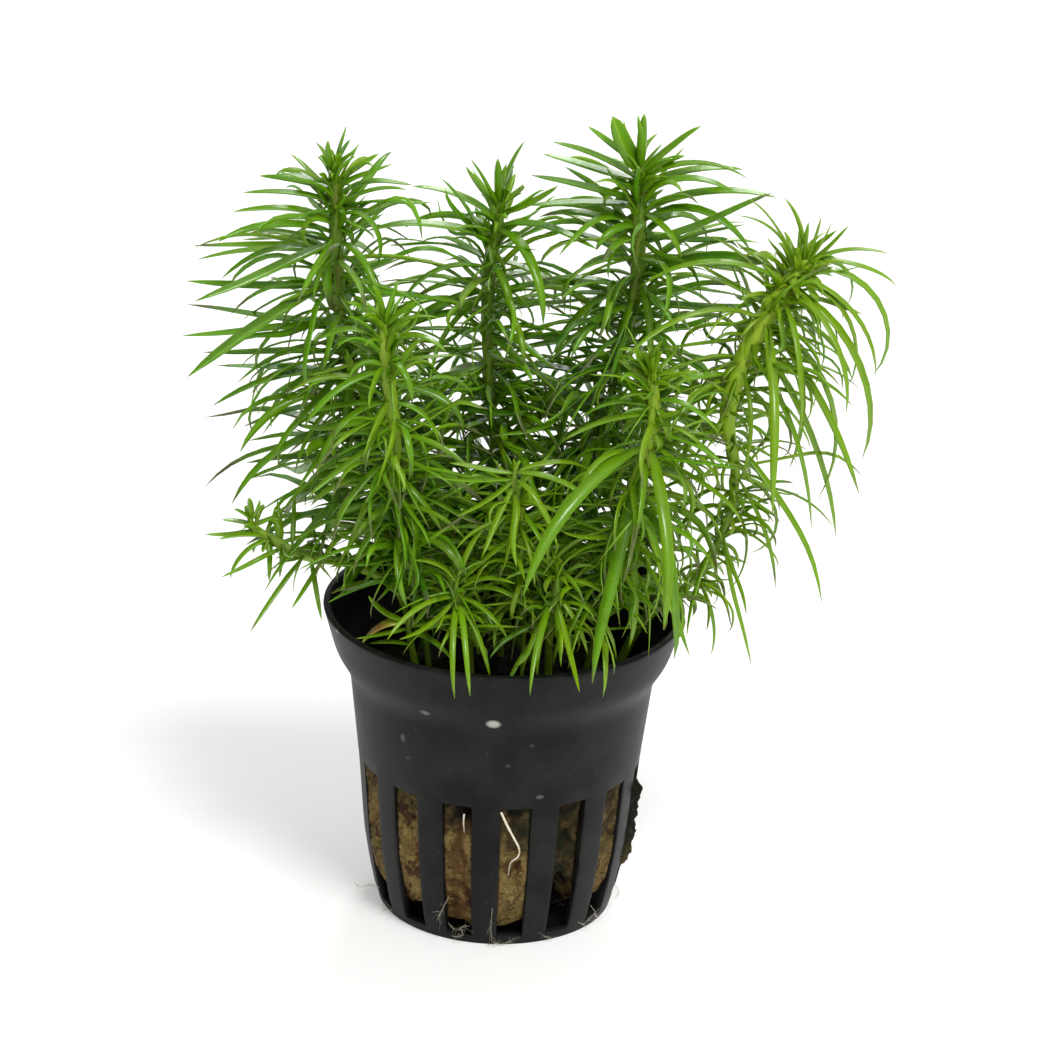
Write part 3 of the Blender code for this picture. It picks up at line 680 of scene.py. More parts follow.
def make_piece(name, nodes, parts):
    """One mesh object from parts, each of them (points in mm, face blocks, material, map, tone).

    The map is (across, along) of each point, kept as a UV map, and the tone three numbers of each
    point, kept as a colour attribute; both may be single values for the whole part.
    """
    points, faces, place, maps, tones = [], [], [], [], []
    start = 0
    for number, (cloud, blocks, _, part_map, tone) in enumerate(parts):
        cloud = cloud.reshape(-1, 3)
        for block in blocks:
            faces += (block + start).tolist()
            place += [number] * len(block)
        start += len(cloud)
        points.append(cloud)
        maps.append(np.broadcast_to(part_map, (len(cloud), 2)))
        tones.append(np.broadcast_to(tone, (len(cloud), 3)))
    mesh = bpy.data.meshes.new(name)
    mesh.from_pydata(np.vstack(points) * MM, [], faces)
    for part in parts:
        mesh.materials.append(part[2])
    mesh.polygons.foreach_set("material_index", place)
    corner = np.empty(len(mesh.loops), int)
    mesh.loops.foreach_get("vertex_index", corner)
    mesh.uv_layers.new(name="blade").data.foreach_set("uv", np.vstack(maps)[corner].ravel())
    colours = np.column_stack([np.vstack(tones), np.ones(len(mesh.vertices))])
    mesh.color_attributes.new("tone", "FLOAT_COLOR", "POINT").data.foreach_set("color", colours.ravel())
    mesh.shade_smooth()
    piece = bpy.data.objects.new(name, mesh)
    bpy.context.scene.collection.objects.link(piece)
    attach(piece, "root")
    if nodes:
        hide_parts(*nodes)
    return piece


def add_node(tree, kind, inputs=None, stops=None, **settings):
    """Adds a node. Each input is a value or another node's output; stops are a ramp's (place, colour)."""
    made = tree.nodes.new(kind)
    for key, value in settings.items():
        setattr(made, key, value)
    for key, value in (inputs or {}).items():
        if isinstance(value, bpy.types.NodeSocket):
            tree.links.new(value, made.inputs[key])
        else:
            made.inputs[key].default_value = value
    if stops:
        elements = made.color_ramp.elements
        while len(elements) < len(stops):
            elements.new(0.5)
        for element, (place, colour) in zip(elements, stops):
            element.position = place
            element.color = colour
    return made


def new_material(name, **values):
    """A material with its Principled shader and the values that are the same all over the surface."""
    material = bpy.data.materials.new(name)
    material.use_nodes = True
    shader = material.node_tree.nodes["Principled BSDF"]
    for key, value in values.items():
        shader.inputs[key.replace("_", " ")].default_value = value
    return material, material.node_tree, shader


def connect(tree, shader, **sockets):
    """Links each socket to the shader's input of that name."""
    for key, socket in sockets.items():
        tree.links.new(socket, shader.inputs[key.replace("_", " ")])


def shade(colour, factor):
    """A colour made lighter or darker."""
    return (*(min(1.0, factor * part) for part in colour[:3]), 1.0)


def tone_of(tree):
    """The three numbers of a piece's tone."""
    tone = add_node(tree, "ShaderNodeAttribute", attribute_name="tone")
    return add_node(tree, "ShaderNodeSeparateColor", {0: tone.outputs["Color"]}).outputs


def map_of(tree):
    """The two numbers of a piece's map: across and along."""
    blade = add_node(tree, "ShaderNodeUVMap", uv_map="blade")
    return add_node(tree, "ShaderNodeSeparateXYZ", {0: blade.outputs[0]}).outputs


def moulded_polypropylene(settings):
    """Black injection-moulded polypropylene: a satin skin, faintly uneven, with a film of dust and lime.

    Satin gives broad soft reflections at the sides; the film greys the wall a little in cloudy
    patches; each dried spot is an ellipse on the wall with a soft edge.
    """
    material, tree, shader = new_material("black moulded polypropylene", IOR=1.49, Specular_IOR_Level=0.16)
    place = add_node(tree, "ShaderNodeTexCoord").outputs["Object"]
    cloud = add_node(tree, "ShaderNodeTexNoise", {"Vector": place, "Scale": 1 / (8 * MM), "Detail": 4.0})
    speck = add_node(tree, "ShaderNodeTexNoise", {"Vector": place, "Scale": 1 / (0.7 * MM), "Detail": 2.0})
    film = add_node(tree, "ShaderNodeMapRange", {
        "Value": cloud.outputs["Fac"], "From Min": 0.42, "From Max": 0.72, "To Min": 0.0, "To Max": 0.02})
    dust = add_node(tree, "ShaderNodeMapRange", {
        "Value": speck.outputs["Fac"], "From Min": 0.68, "From Max": 0.74, "To Min": 0.0, "To Max": 0.03})
    pale = add_node(tree, "ShaderNodeMath", {0: film.outputs[0], 1: dust.outputs[0]}, operation="ADD")
    for bearing, z, half_width, half_height, strength in SPOTS:
        centre = polar(bearing, wall(POT_OUTER, z), z) * MM
        moved = add_node(tree, "ShaderNodeMapping", {
            "Vector": place, "Location": tuple(centre), "Rotation": (0.0, 0.0, np.radians(bearing))},
            vector_type="TEXTURE")
        scaled = add_node(tree, "ShaderNodeVectorMath", {
            0: moved.outputs[0], 1: (1 / (half_width * MM), 0.3 / MM, 1 / (half_height * MM))},
            operation="MULTIPLY")
        far = add_node(tree, "ShaderNodeVectorMath", {0: scaled.outputs[0]}, operation="LENGTH")
        inside = add_node(tree, "ShaderNodeMapRange", {
            "Value": far.outputs["Value"], "From Min": 0.55, "From Max": 1.1, "To Min": strength,
            "To Max": 0.0})
        pale = add_node(tree, "ShaderNodeMath", {
            0: pale.outputs[0], 1: inside.outputs[0]}, operation="MAXIMUM")
    colour = add_node(tree, "ShaderNodeMix", {
        0: pale.outputs[0], 6: tuple(settings.plastic), 7: tuple(settings.dried)}, data_type="RGBA")
    gloss = add_node(tree, "ShaderNodeMapRange", {
        "Value": cloud.outputs["Fac"], "From Min": 0.3, "From Max": 0.7, "To Min": 0.42, "To Max": 0.52})
    skin = add_node(tree, "ShaderNodeBump", {
        "Height": cloud.outputs["Fac"], "Strength": 0.25, "Distance": 0.3 * MM})
    connect(tree, shader, Base_Color=colour.outputs[2], Roughness=gloss.outputs[0], Normal=skin.outputs[0])
    return material


def felted_rockwool(settings):
    """Felted mineral wool: matt, with loose fibres and crumbs, stained brown and grown over with algae.

    The fibres give short streaks that run about level, and painted shade darkens the thin cracks
    between the clumps. Tone's first number is how much algae covers a place, the second how brown
    its stain is, the third how much painted shade darkens it to near black.
    """
    material, tree, shader = new_material("felted rockwool", Roughness=0.95, Specular_IOR_Level=0.2)
    place = add_node(tree, "ShaderNodeTexCoord").outputs["Object"]
    algae, brown, painted_shade = list(tone_of(tree))[:3]
    level = add_node(tree, "ShaderNodeMapping", {"Vector": place, "Scale": (1.0, 1.0, 2.2)})
    patch = add_node(tree, "ShaderNodeTexNoise", {
        "Vector": place, "Scale": 1 / (3.2 * MM), "Detail": 6.0, "Roughness": 0.68, "Distortion": 0.4})
    fibre = add_node(tree, "ShaderNodeTexNoise", {
        "Vector": level.outputs[0], "Scale": 1 / (1.1 * MM), "Detail": 5.0, "Roughness": 0.75,
        "Distortion": 1.4})
    crease = add_node(tree, "ShaderNodeTexNoise", {
        "Vector": place, "Scale": 1 / (4.5 * MM), "Detail": 3.0, "Distortion": 1.8})
    dark = shade(settings.brown, 0.3)
    base = add_node(tree, "ShaderNodeValToRGB", {0: patch.outputs["Fac"]}, stops=[
        (0.34, dark), (0.42, tuple(settings.brown)), (0.5, tuple(settings.tan)), (0.6, tuple(settings.tan)),
        (0.72, shade(settings.tan, 1.5))])
    streak = add_node(tree, "ShaderNodeMapRange", {
        "Value": fibre.outputs["Fac"], "From Min": 0.33, "From Max": 0.52, "To Min": 0.6, "To Max": 0.0})
    # Painted shade along thin cracks between the clumps, joined below with the fibres' dark streaks
    side = add_node(tree, "ShaderNodeMath", {0: crease.outputs["Fac"], 1: 0.5}, operation="SUBTRACT")
    near = add_node(tree, "ShaderNodeMath", {0: side.outputs[0]}, operation="ABSOLUTE")
    crack_shade = add_node(tree, "ShaderNodeMapRange", {
        "Value": near.outputs[0], "From Min": 0.004, "From Max": 0.022, "To Min": 0.8, "To Max": 0.0})
    streaks_and_crack_shade = add_node(tree, "ShaderNodeMath", {
        0: streak.outputs[0], 1: crack_shade.outputs[0]}, operation="MAXIMUM")
    colour = base.outputs[0]
    # Mixed over the base: the fibre streaks with painted shade in the cracks, the brown stain, the algae, and
    # near-black painted shade where the tone's third number is high
    for share, over in (
            (streaks_and_crack_shade.outputs[0], dark), (brown, settings.brown), (algae, settings.algae),
            (painted_shade, linear("#0b0c07"))):
        mixed = add_node(tree, "ShaderNodeMix", {0: share, 6: colour, 7: tuple(over)}, data_type="RGBA")
        colour = mixed.outputs[2]
    relief = add_node(tree, "ShaderNodeBump", {
        "Height": fibre.outputs["Fac"], "Strength": 0.9, "Distance": 0.4 * MM})
    connect(tree, shader, Base_Color=colour, Normal=relief.outputs[0])
    return material


def living_leaf(settings):
    """A living leaf: a smooth skin with a soft gloss over green tissue that light shines a little way into.

    The map's first number runs across the blade and the second along it, so the midrib is a paler
    line, the foot is paler and the tip dries to brown. Tone gives each leaf its own green, how
    yellow it is and how far its tip has dried, where 2 is an old leaf, yellow and brown all over.
    """
    material, tree, shader = new_material(
        "living leaf", IOR=1.42, Specular_IOR_Level=0.58, Subsurface_Weight=0.3, Subsurface_Scale=0.6 * MM,
        Subsurface_Radius=(0.6, 1.0, 0.15))
    across, length = list(map_of(tree))[:2]
    own, yellow, withered = list(tone_of(tree))[:3]
    place = add_node(tree, "ShaderNodeTexCoord").outputs["Object"]
    cell = add_node(tree, "ShaderNodeTexNoise", {"Vector": place, "Scale": 1 / (3.8 * MM), "Detail": 3.0})
    varied = add_node(tree, "ShaderNodeMath", {
        0: cell.outputs["Fac"], 1: 0.6, 2: -0.3}, operation="MULTIPLY_ADD")
    green_of = add_node(tree, "ShaderNodeMath", {0: own, 1: varied.outputs[0]}, operation="ADD")
    green = add_node(tree, "ShaderNodeValToRGB", {0: green_of.outputs[0]}, stops=[
        (0.05, tuple(settings.deep)), (0.5, tuple(settings.green)), (1.0, shade(settings.green, 1.3))])
    side = add_node(tree, "ShaderNodeMath", {0: across, 1: 0.5}, operation="SUBTRACT")
    off = add_node(tree, "ShaderNodeMath", {0: side.outputs[0]}, operation="ABSOLUTE")
    rib = add_node(tree, "ShaderNodeMapRange", {
        "Value": off.outputs[0], "From Min": 0.03, "From Max": 0.1, "To Min": 0.08, "To Max": 0.0})
    foot = add_node(tree, "ShaderNodeMapRange", {
        "Value": length, "From Min": 0.0, "From Max": 0.2, "To Min": 0.35, "To Max": 0.0})
    pale = add_node(tree, "ShaderNodeMath", {0: rib.outputs[0], 1: foot.outputs[0]}, operation="MAXIMUM")
    dry = add_node(tree, "ShaderNodeMath", {0: withered, 1: -0.35, 2: 0.97}, operation="MULTIPLY_ADD")
    end = add_node(tree, "ShaderNodeMath", {0: dry.outputs[0], 1: 0.12}, operation="ADD")
    tip = add_node(tree, "ShaderNodeMapRange", {
        "Value": length, "From Min": dry.outputs[0], "From Max": end.outputs[0], "To Max": 0.8})
    rot = add_node(tree, "ShaderNodeValToRGB", {0: length}, stops=[
        (0.0, linear("#6f9a24")), (0.3, linear("#b8c040")), (0.5, linear("#a87642")),
        (0.66, linear("#b49a48")), (0.82, linear("#c6cc50"))])
    old = add_node(tree, "ShaderNodeMath", {0: withered, 1: 1.5}, operation="GREATER_THAN")
    colour = green.outputs[0]
    for share, over in (
            (yellow, tuple(settings.yellow)), (pale.outputs[0], linear("#86a34a")),
            (tip.outputs[0], tuple(settings.tip)), (old.outputs[0], rot.outputs[0])):
        mixed = add_node(tree, "ShaderNodeMix", {0: share, 6: colour, 7: over}, data_type="RGBA")
        colour = mixed.outputs[2]
    gloss = add_node(tree, "ShaderNodeMapRange", {
        "Value": cell.outputs["Fac"], "From Min": 0.3, "From Max": 0.7, "To Min": 0.2, "To Max": 0.32})
    veins = add_node(tree, "ShaderNodeTexNoise", {"Vector": place, "Scale": 1 / (0.55 * MM), "Detail": 2.0})
    skin = add_node(tree, "ShaderNodeBump", {
        "Height": veins.outputs["Fac"], "Strength": 0.2, "Distance": 0.08 * MM})
    connect(tree, shader, Base_Color=colour, Roughness=gloss.outputs[0], Normal=skin.outputs[0])
    return material


def green_stem(settings):
    """A soft green stem: smooth, and a little ribbed along its length.

    Tone's second number is how light it is.
    """
    material, tree, shader = new_material(
        "green stem", IOR=1.42, Roughness=0.42, Subsurface_Weight=0.3, Subsurface_Scale=0.8 * MM,
        Subsurface_Radius=(0.6, 1.0, 0.2))
    place = add_node(tree, "ShaderNodeTexCoord").outputs["Object"]
    upright = add_node(tree, "ShaderNodeMapping", {"Vector": place, "Scale": (1.0, 1.0, 0.12)})
    rib = add_node(tree, "ShaderNodeTexNoise", {
        "Vector": upright.outputs[0], "Scale": 1 / (0.7 * MM), "Detail": 2.0})
    fresh = add_node(tree, "ShaderNodeValToRGB", {0: rib.outputs["Fac"]}, stops=[
        (0.35, linear("#5c6026")), (0.5, tuple(settings.deep)), (0.7, linear("#6a902e"))])
    colour = add_node(tree, "ShaderNodeMix", {
        0: tone_of(tree)[1], 6: fresh.outputs[0], 7: linear("#9cbc28")}, data_type="RGBA")
    skin = add_node(tree, "ShaderNodeBump", {
        "Height": rib.outputs["Fac"], "Strength": 0.4, "Distance": 0.1 * MM})
    connect(tree, shader, Base_Color=colour.outputs[2], Normal=skin.outputs[0])
    return material


def pale_root(settings):
    """A young root: moist and a little see-through, ivory, browner in places and towards its tip."""
    material, tree, shader = new_material(
        "pale young root", IOR=1.38, Roughness=0.45, Subsurface_Weight=0.3, Subsurface_Scale=0.2 * MM,
        Subsurface_Radius=(1.0, 0.9, 0.7))
    place = add_node(tree, "ShaderNodeTexCoord").outputs["Object"]
    patch = add_node(tree, "ShaderNodeTexNoise", {"Vector": place, "Scale": 1 / (2 * MM), "Detail": 3.0})
    ivory = add_node(tree, "ShaderNodeValToRGB", {0: patch.outputs["Fac"]}, stops=[
        (0.25, linear("#b9a77c")), (0.5, tuple(settings.pale))])
    tip = add_node(tree, "ShaderNodeMapRange", {
        "Value": map_of(tree)[1], "From Min": 0.6, "From Max": 1.0, "To Max": 0.85})
    colour = add_node(tree, "ShaderNodeMix", {
        0: tip.outputs[0], 6: ivory.outputs[0], 7: linear("#7d7457")}, data_type="RGBA")
    connect(tree, shader, Base_Color=colour.outputs[2])
    return material


def pot_surface():
    """The pot's outer skin on a grid of (height, bearing), open at the rim and at the slots.

    A ring's radius is the outline's, averaged over 3.6 mm of height so that its corners are eased.
    Columns follow the edges of the slots, as many in a slot as on a rib, and the faces inside a
    slot are left out.
    """
    columns = 6
    half = SLOT_WIDTH / 2
    within = np.concatenate([
        np.linspace(-half, half, columns, endpoint=False),
        np.linspace(half, PITCH - half, columns, endpoint=False)])
    bearings = (SLOT_START + PITCH * np.arange(SLOT_COUNT)[:, None] + within).ravel()
    heights = np.array([
        0.0, 0.5, SLOT_LOW, 3.0, 6.0, 9.0, 12.0, 15.0, 18.0, 21.0, SLOT_HIGH, 27.0, 30.0, 33.0, 35.5, 37.0,
        37.7, 38.2, 38.7, 39.2, 39.7, 40.2, 40.7, 41.2, 41.7, 42.3, 43.0, 44.0, 45.5, 47.0, 48.0, RIM_Z])
    reach = np.minimum(1.8, RIM_Z - heights)[:, None]
    eased = np.clip(heights[:, None] + reach * np.linspace(-1.0, 1.0, 19), 0.0, RIM_Z)
    radii = np.concatenate([[5.0, 11.0, 16.0], wall(POT_OUTER, eased).mean(axis=1)])
    heights = np.concatenate([[0.0, 0.0, 0.0], heights])
    points = polar(bearings[None], radii[:, None], heights[:, None])
    faces = grid_faces(*points.shape[:2])
    row, column = np.divmod(faces[:, 0], len(bearings))
    in_slot = (column % (2 * columns) < columns) & (heights[row] >= SLOT_LOW) & (heights[row] < SLOT_HIGH)
    return points, [faces[~in_slot], np.arange(len(bearings))[None, ::-1]]


def in_a_slot(bearing):
    """1 in a slot and 0 behind a rib, and how far from the slot's edge a place in it is, from 0 to 1."""
    off = np.abs((bearing - SLOT_START + PITCH / 2) % PITCH - PITCH / 2)
    return np.clip(SLOT_WIDTH / 2 + 0.8 - off, 0.0, 1.0), np.clip((SLOT_WIDTH / 2 - off) / 3, 0.0, 1.0)


def around(bearing, middle, spread):
    """1 at the middle bearing, falling off over the spread."""
    return np.exp(-(turned(bearing, middle) / spread) ** 2)


def ramp(z, height, over):
    """From 0 at a height to 1 so many mm above it, or below it where `over` is less than 0."""
    return np.clip((z - height) / over, 0, 1)


def patches(table, bearing, z):
    """The strongest of a table's soft patches, at bearings and heights."""
    return np.maximum.reduce([
        strength * around(bearing, middle, spread) * np.clip((z - height) / over, least, 1.0)
        for middle, spread, strength, height, over, least in table])


def plug_tone(bearing, z, points):
    """Algae, stain and painted shade at places on the plug, from soft patches and a little noise."""
    algae = np.maximum(patches(ALGAE, bearing, z), np.where(np.abs(bearing) > 95, 0.35, 0.0))
    algae *= np.clip(0.75 + 0.4 * rough(points, 2.6, 5), 0.0, 1.15)
    stain = 0.8 * around(bearing, -16, 6) + 0.2 * around(bearing, 56, 9) + 0.1
    stain *= np.clip(0.7 + 0.6 * rough(points, 3.5, 6), 0.0, 1.6)
    strand = around(bearing + 0.7 * np.sin(0.9 * z), -18, 1.3) + around(bearing - 0.5 * np.sin(z), -13.5, 0.8)
    stain = np.maximum(stain, 0.95 * strand * ramp(z, 7, 3) * ramp(z, 20, -3))
    # Painted shade: darker towards the tops of the slots, in the recessed wool at -14 and 32 degrees and on
    # the plug's top under the leaves, with a little noise
    painted_shade = ramp(z, 18.5, 4.0) * (0.42 + 0.6 * around(bearing, -14, 9) + 0.3 * around(bearing, 40, 18))
    corner = (0.72 + 0.25 * ramp(z, 10, -2)) * around(bearing, 32, 10)
    painted_shade = np.maximum(np.maximum(painted_shade, 1.1 * ramp(z, PLUG_TOP - 3.5, 1.5)), corner)
    painted_shade = np.maximum(painted_shade, patches(SHADE_PATCHES, bearing, z)) + 0.12 * rough(points, 1.8, 11)
    tone = np.stack([np.clip(algae, 0, 0.97), np.clip(stain, 0, 0.9), np.clip(painted_shade, 0, 0.97)], axis=-1)
    return tone.reshape(-1, 3)


def plug_surface(relief):
    """The plug on a grid of (profile, bearing): out along its underside, up its side, in over its top.

    The side follows the pot's inner wall, bulges a little into each slot, and has lumps of two
    sizes; a corner of the underside is missing behind the slot right of the front, and the wool
    draws back from the top of the slot left of it.
    """
    under, side, over = 10, 62, 16
    bearing = np.arange(360)[None] * 1.0
    foot = (
        PLUG_FOOT + 8.0 * around(bearing, 32, 11) + 0.9 * around(bearing, -40, 8)
        + 1.2 * around(bearing, 56, 8) - 1.5 * around(bearing, -4, 17)
        + 0.25 * np.sin(np.radians(17 * bearing)))
    out = np.concatenate([np.linspace(0.05, 1, under), np.ones(side), np.linspace(1, 0.05, over)])[:, None]
    up = np.concatenate([np.zeros(under), np.linspace(0, 1, side), np.ones(over)])[:, None]
    z = foot + (PLUG_TOP - foot) * up
    edge = 0.8 * (np.exp(-(z - foot) / 0.5) + np.exp(-(PLUG_TOP - z) / 0.5))
    in_slot, from_edge = in_a_slot(bearing)
    bulge = (0.95 + 0.45 * around(bearing, -64, 12)) * in_slot
    bulge = bulge * ramp(z, 3, 5) * ramp(z, SLOT_HIGH + 0.8, -1.2)
    dent = 1.5 * around(bearing, -12, 5) * ramp(z, 21, 2) * ramp(z, 30, -4)
    dent = dent + 1.3 * around(bearing, 32, 9) * ramp(z, 26, -4)
    radius = out * (wall(POT_INNER, z) - 0.45 - edge + bulge - dent)
    points = polar(bearing, radius, z)
    lumps = relief / MM * (rough(points, 4.0, 1) + 0.6 * rough(points, 1.3, 2))
    loose = 0.25 + 0.75 * from_edge
    radius = radius + out * np.minimum(lumps, 0.3) * loose * (up > 0) * (up < 1)
    z = z + np.where(up == 0, 2.0, np.where(up == 1, 1.5, 0.0)) * lumps * np.minimum(1, (1 - out) * 8 + 0.2)
    points = polar(bearing, radius, np.maximum(z, 1.6))
    turned_in = (bearing + 180.0) % 360.0 - 180.0
    return points, tube_faces(1, *points.shape[:2]), plug_tone(turned_in + 0 * z, z, points)


def lump_surface():
    """The lump in the right slot: rings stacked up its height, flat inside and ragged outside."""
    heights, reach = np.array(LUMP).T
    z = np.linspace(heights[0] - 0.6, heights[-1] + 0.4, 40)[:, None]
    turn = np.linspace(0, 2 * np.pi, 28, endpoint=False)[None]
    far = np.interp(z, heights, reach) - 0.75 + 0.5 * np.exp(-((z - 21.0) / 1.6) ** 2)
    ends = np.clip(1 - ((z - z.mean()) / (0.5 * np.ptp(z))) ** 8, 0.0, 1.0) ** 0.5
    bearing = LUMP_BEARING + 4.3 * ends * np.cos(turn)
    radius = LUMP_BACK + (far - LUMP_BACK) * ends * (0.5 + 0.5 * np.sin(turn))
    points = polar(bearing, radius, z + 0 * turn)
    ragged = 0.24 * rough(points, 2.6, 7) + 0.14 * rough(points, 0.9, 8) - 0.1
    points = polar(bearing, radius + ragged * np.clip(np.sin(turn), 0, 1) * ends, z + 0 * turn)
    # Tone: algae, thinner low down; a little stain; and painted shade, darker towards the lump's top under
    # the wall above the slot
    tone = np.stack([
        np.clip(0.95 - 0.3 * ramp(z, 11.5, -3) + 0.1 * rough(points, 1.5, 9), 0, 0.97),
        np.full_like(points[..., 0], 0.3),
        np.clip(0.2 + 0.6 * ramp(z, 9, 6) + 0.15 * rough(points, 1.5, 10), 0, 0.9)], axis=-1)
    return points[:, ::-1], tube_faces(1, *points.shape[:2]), tone[:, ::-1].reshape(-1, 3)


def wool_fibres():
    """Loose fibres on the wool in the slots: short thin tubes, bent a little, lying on its surface."""
    rng = np.random.default_rng(SEED + 60)
    count, steps = 330, 6
    slot = rng.integers(0, SLOT_COUNT, count)
    aside = rng.uniform(-5.0, 5.0, count)
    z = rng.uniform(4.5, 23.5, count)
    way = rng.normal(0, 0.7, count)[:, None]
    length = rng.uniform(0.8, 2.6, count)[:, None]
    t = np.linspace(-0.5, 0.5, steps)[None]
    bend = rng.normal(0, 0.35, count)[:, None] * (t**2 - 0.08) * length
    level = (t * np.cos(way) - bend * np.sin(way)) * length
    rise = (t * np.sin(way) + bend * np.cos(way)) * length
    height = np.clip(z[:, None] + rise, 4.0, 24.2)
    turn = np.clip(np.degrees(level / 20.5) + aside[:, None], -5.9, 5.9)
    lift = 0.28 - 1.1 * t**2 + rng.uniform(-0.1, 0.15, count)[:, None]
    middle = SLOT_START + PITCH * slot
    lines = polar(middle[:, None] + turn, wall(POT_INNER, height) + lift, height)
    radii = np.broadcast_to(rng.uniform(0.028, 0.055, count)[:, None], (count, steps))
    # Tone as on the plug beneath: algae, stain and painted shade
    tone = plug_tone(middle + aside, z, polar(middle + aside, 20.0, z))
    return (
        strands(lines, radii, FIBRE_SIDES), tube_faces(count, steps, FIBRE_SIDES),
        np.repeat(tone, steps * FIBRE_SIDES, axis=0))


def strayed(kind):
    """How far a leaf strays from its plain curve: least where it stands out, most for a wisp."""
    return np.select([kind > 0, kind <= WISP, kind == FILL_IN], [0.3, 1.6, 1.25], 0.6)


def leaf_forms(name, leaves, rng):
    """Width in mm of each leaf, how blunt it ends and its roll; those that stand out lean to the front."""
    at, bearing, length, kind = leaves[:, [3, 4, 7, 8]].T
    standing, other = LOOKS[name][1:3]
    count = len(leaves)
    width = leaf_width(length) * np.where(kind > 0, standing, other * rng.uniform(0.65, 1.25, count))
    width = width * np.where(kind > 0, 1.0 + 0.45 * np.exp(-at / 7.0), 1.0)
    width = np.where(kind <= WISP, rng.uniform(0.45, 0.9, count) * np.where(at < 11, 1.6, 1.0), width)
    blunt = np.where(kind > 0, 4.5, rng.uniform(3.0, 6.5, count))
    roll = rng.normal(0, 0.4, count) * strayed(kind)
    roll = roll + np.where(kind > 0, 0.35 * np.sin(np.radians(bearing)), 0.0)
    for (shoot, number), form in BLUNT.items():
        if shoot == name:
            width[kind == number], blunt[kind == number], roll[kind == number] = form
    return width[:, None], blunt[:, None], roll[:, None]


def leaf_middles(leaves, late, hook, drift, curl):
    """Middle lines of many leaves as points (leaf, step), with the way ahead and the way aside of each.

    The slope turns from rise to fall in proportion to u**late, and hooks over by hook x u**4 more;
    reach and height are the running sums of its cos and sin. The leaf drifts aside by drift x u**2
    of its length and waves up and aside by the two curls x u.
    """
    foot = leaves[:, None, :3]
    bearing, rise, fall, length = leaves[:, 4:8].T[..., None]
    fine = 4
    steps = fine * (LEAF_ROWS - 1)
    half_way = (np.arange(steps) + 0.5)[None] / steps
    slope = np.radians(rise + (fall - rise) * half_way**late + hook * half_way**4)
    reach, height = (
        np.hstack([0 * length, np.cumsum(way(slope), axis=1) * length / steps])[:, ::fine, None]
        for way in (np.cos, np.sin))
    u = np.linspace(0, 1, LEAF_ROWS)[None]
    turn = np.radians(rise + (fall - rise) * u**late + hook * u**4)[..., None]
    b = np.radians(bearing)[..., None]
    out = np.concatenate([np.sin(b), -np.cos(b), 0 * b], axis=-1)
    side = np.concatenate([np.cos(b), np.sin(b), 0 * b], axis=-1)
    up = np.array([0.0, 0.0, 1.0])
    swing = (drift * u**2 + curl[1] * u)[..., None] * length[..., None]
    bob = (curl[0] * u)[..., None] * length[..., None]
    ahead = np.cos(turn) * out + np.sin(turn) * up
    return foot + reach * out + (height + bob) * up + swing * side, ahead, np.broadcast_to(side, ahead.shape)


def leaf_surfaces(name, leaves, seed, thickness):
    """Many leaves at once, on a grid of (leaf, along, around).

    Each leaf drifts, waves and rolls, and those that fill in hook over too, the thin ones most of
    all; one that would touch the pot, leave the box or reach into the bare mouth keeps its plain
    curve. Across the middle line lies a shallow channel, its edges raised; the width grows from
    the foot, keeps, and tapers to the tip.
    """
    rng = np.random.default_rng(seed)
    count = len(leaves)
    kind = leaves[:, 8:]
    width, blunt, rolled = leaf_forms(name, leaves, rng)
    u = np.linspace(0, 1, LEAF_ROWS)[None]
    loose = strayed(kind)
    late = np.where(kind < 0, rng.uniform(0.7, 2.4, (count, 1)), 1.0)
    hook = rng.normal(-12, 32, (count, 1)) * (kind < 0)
    drift = rng.normal(0, 0.12, (count, 1)) * loose
    curl = np.sin(2 * np.pi * (rng.uniform(0.6, 1.2, (count, 1)) * u + rng.uniform(0, 1, (2, count, 1))))
    curl = (curl - curl[..., :1]) * rng.normal(0, 0.04, (2, count, 1)) * loose
    tried = leaf_middles(leaves, late, hook, drift, curl)[0]
    tried = tried[:, :-1, None] + np.linspace(0, 1, 5)[:, None] * np.diff(tried, axis=1)[:, :, None]
    free = np.array([
        [clear_of_pot(line, 0.6 * w[0] + 0.2) and in_box(line) and not in_bare_mouth(line)]
        for line, w in zip(tried.reshape(count, -1, 3), width)])
    middle, ahead, side = leaf_middles(
        leaves, np.where(free, late, 1.0), hook * free, drift * free, curl * free)
    upper = np.cross(ahead, side)
    roll = (rolled + rng.normal(0, 0.7, (count, 1)) * loose * u)[..., None]
    across = np.cos(roll) * side + np.sin(roll) * upper
    upper = np.cos(roll) * upper - np.sin(roll) * side
    shape = (1 - 0.75 * np.clip(1 - u / 0.32, 0, 1) ** 1.6) * np.clip(1 - u**blunt, 0, 1) ** 0.8
    half = 0.5 * width * np.maximum(shape, 0.06)
    place = np.array([-1.0, 0.0, 1.0, 0.5, -0.5])
    lift = np.array([0.36, -0.06, 0.36, 0.08, 0.08])
    below = np.array([0.0, 0.0, 0.0, 1.0, 1.0])
    thick = thickness * np.clip(1.15 - 0.75 * u, 0.2, 1) * np.minimum(1, half / 0.3)
    points = (
        middle[:, :, None]
        + (half[..., None] * place)[..., None] * across[:, :, None]
        + (half[..., None] * lift - thick[..., None] * below)[..., None] * upper[:, :, None])
    grid = (count, LEAF_ROWS, LEAF_COLUMNS)
    flat = np.stack([np.broadcast_to(part, grid) for part in (0.5 + 0.5 * place, u[..., None])], axis=-1)
    return points[:, :, ::-1], tube_faces(*grid), flat[:, :, ::-1].reshape(-1, 2)


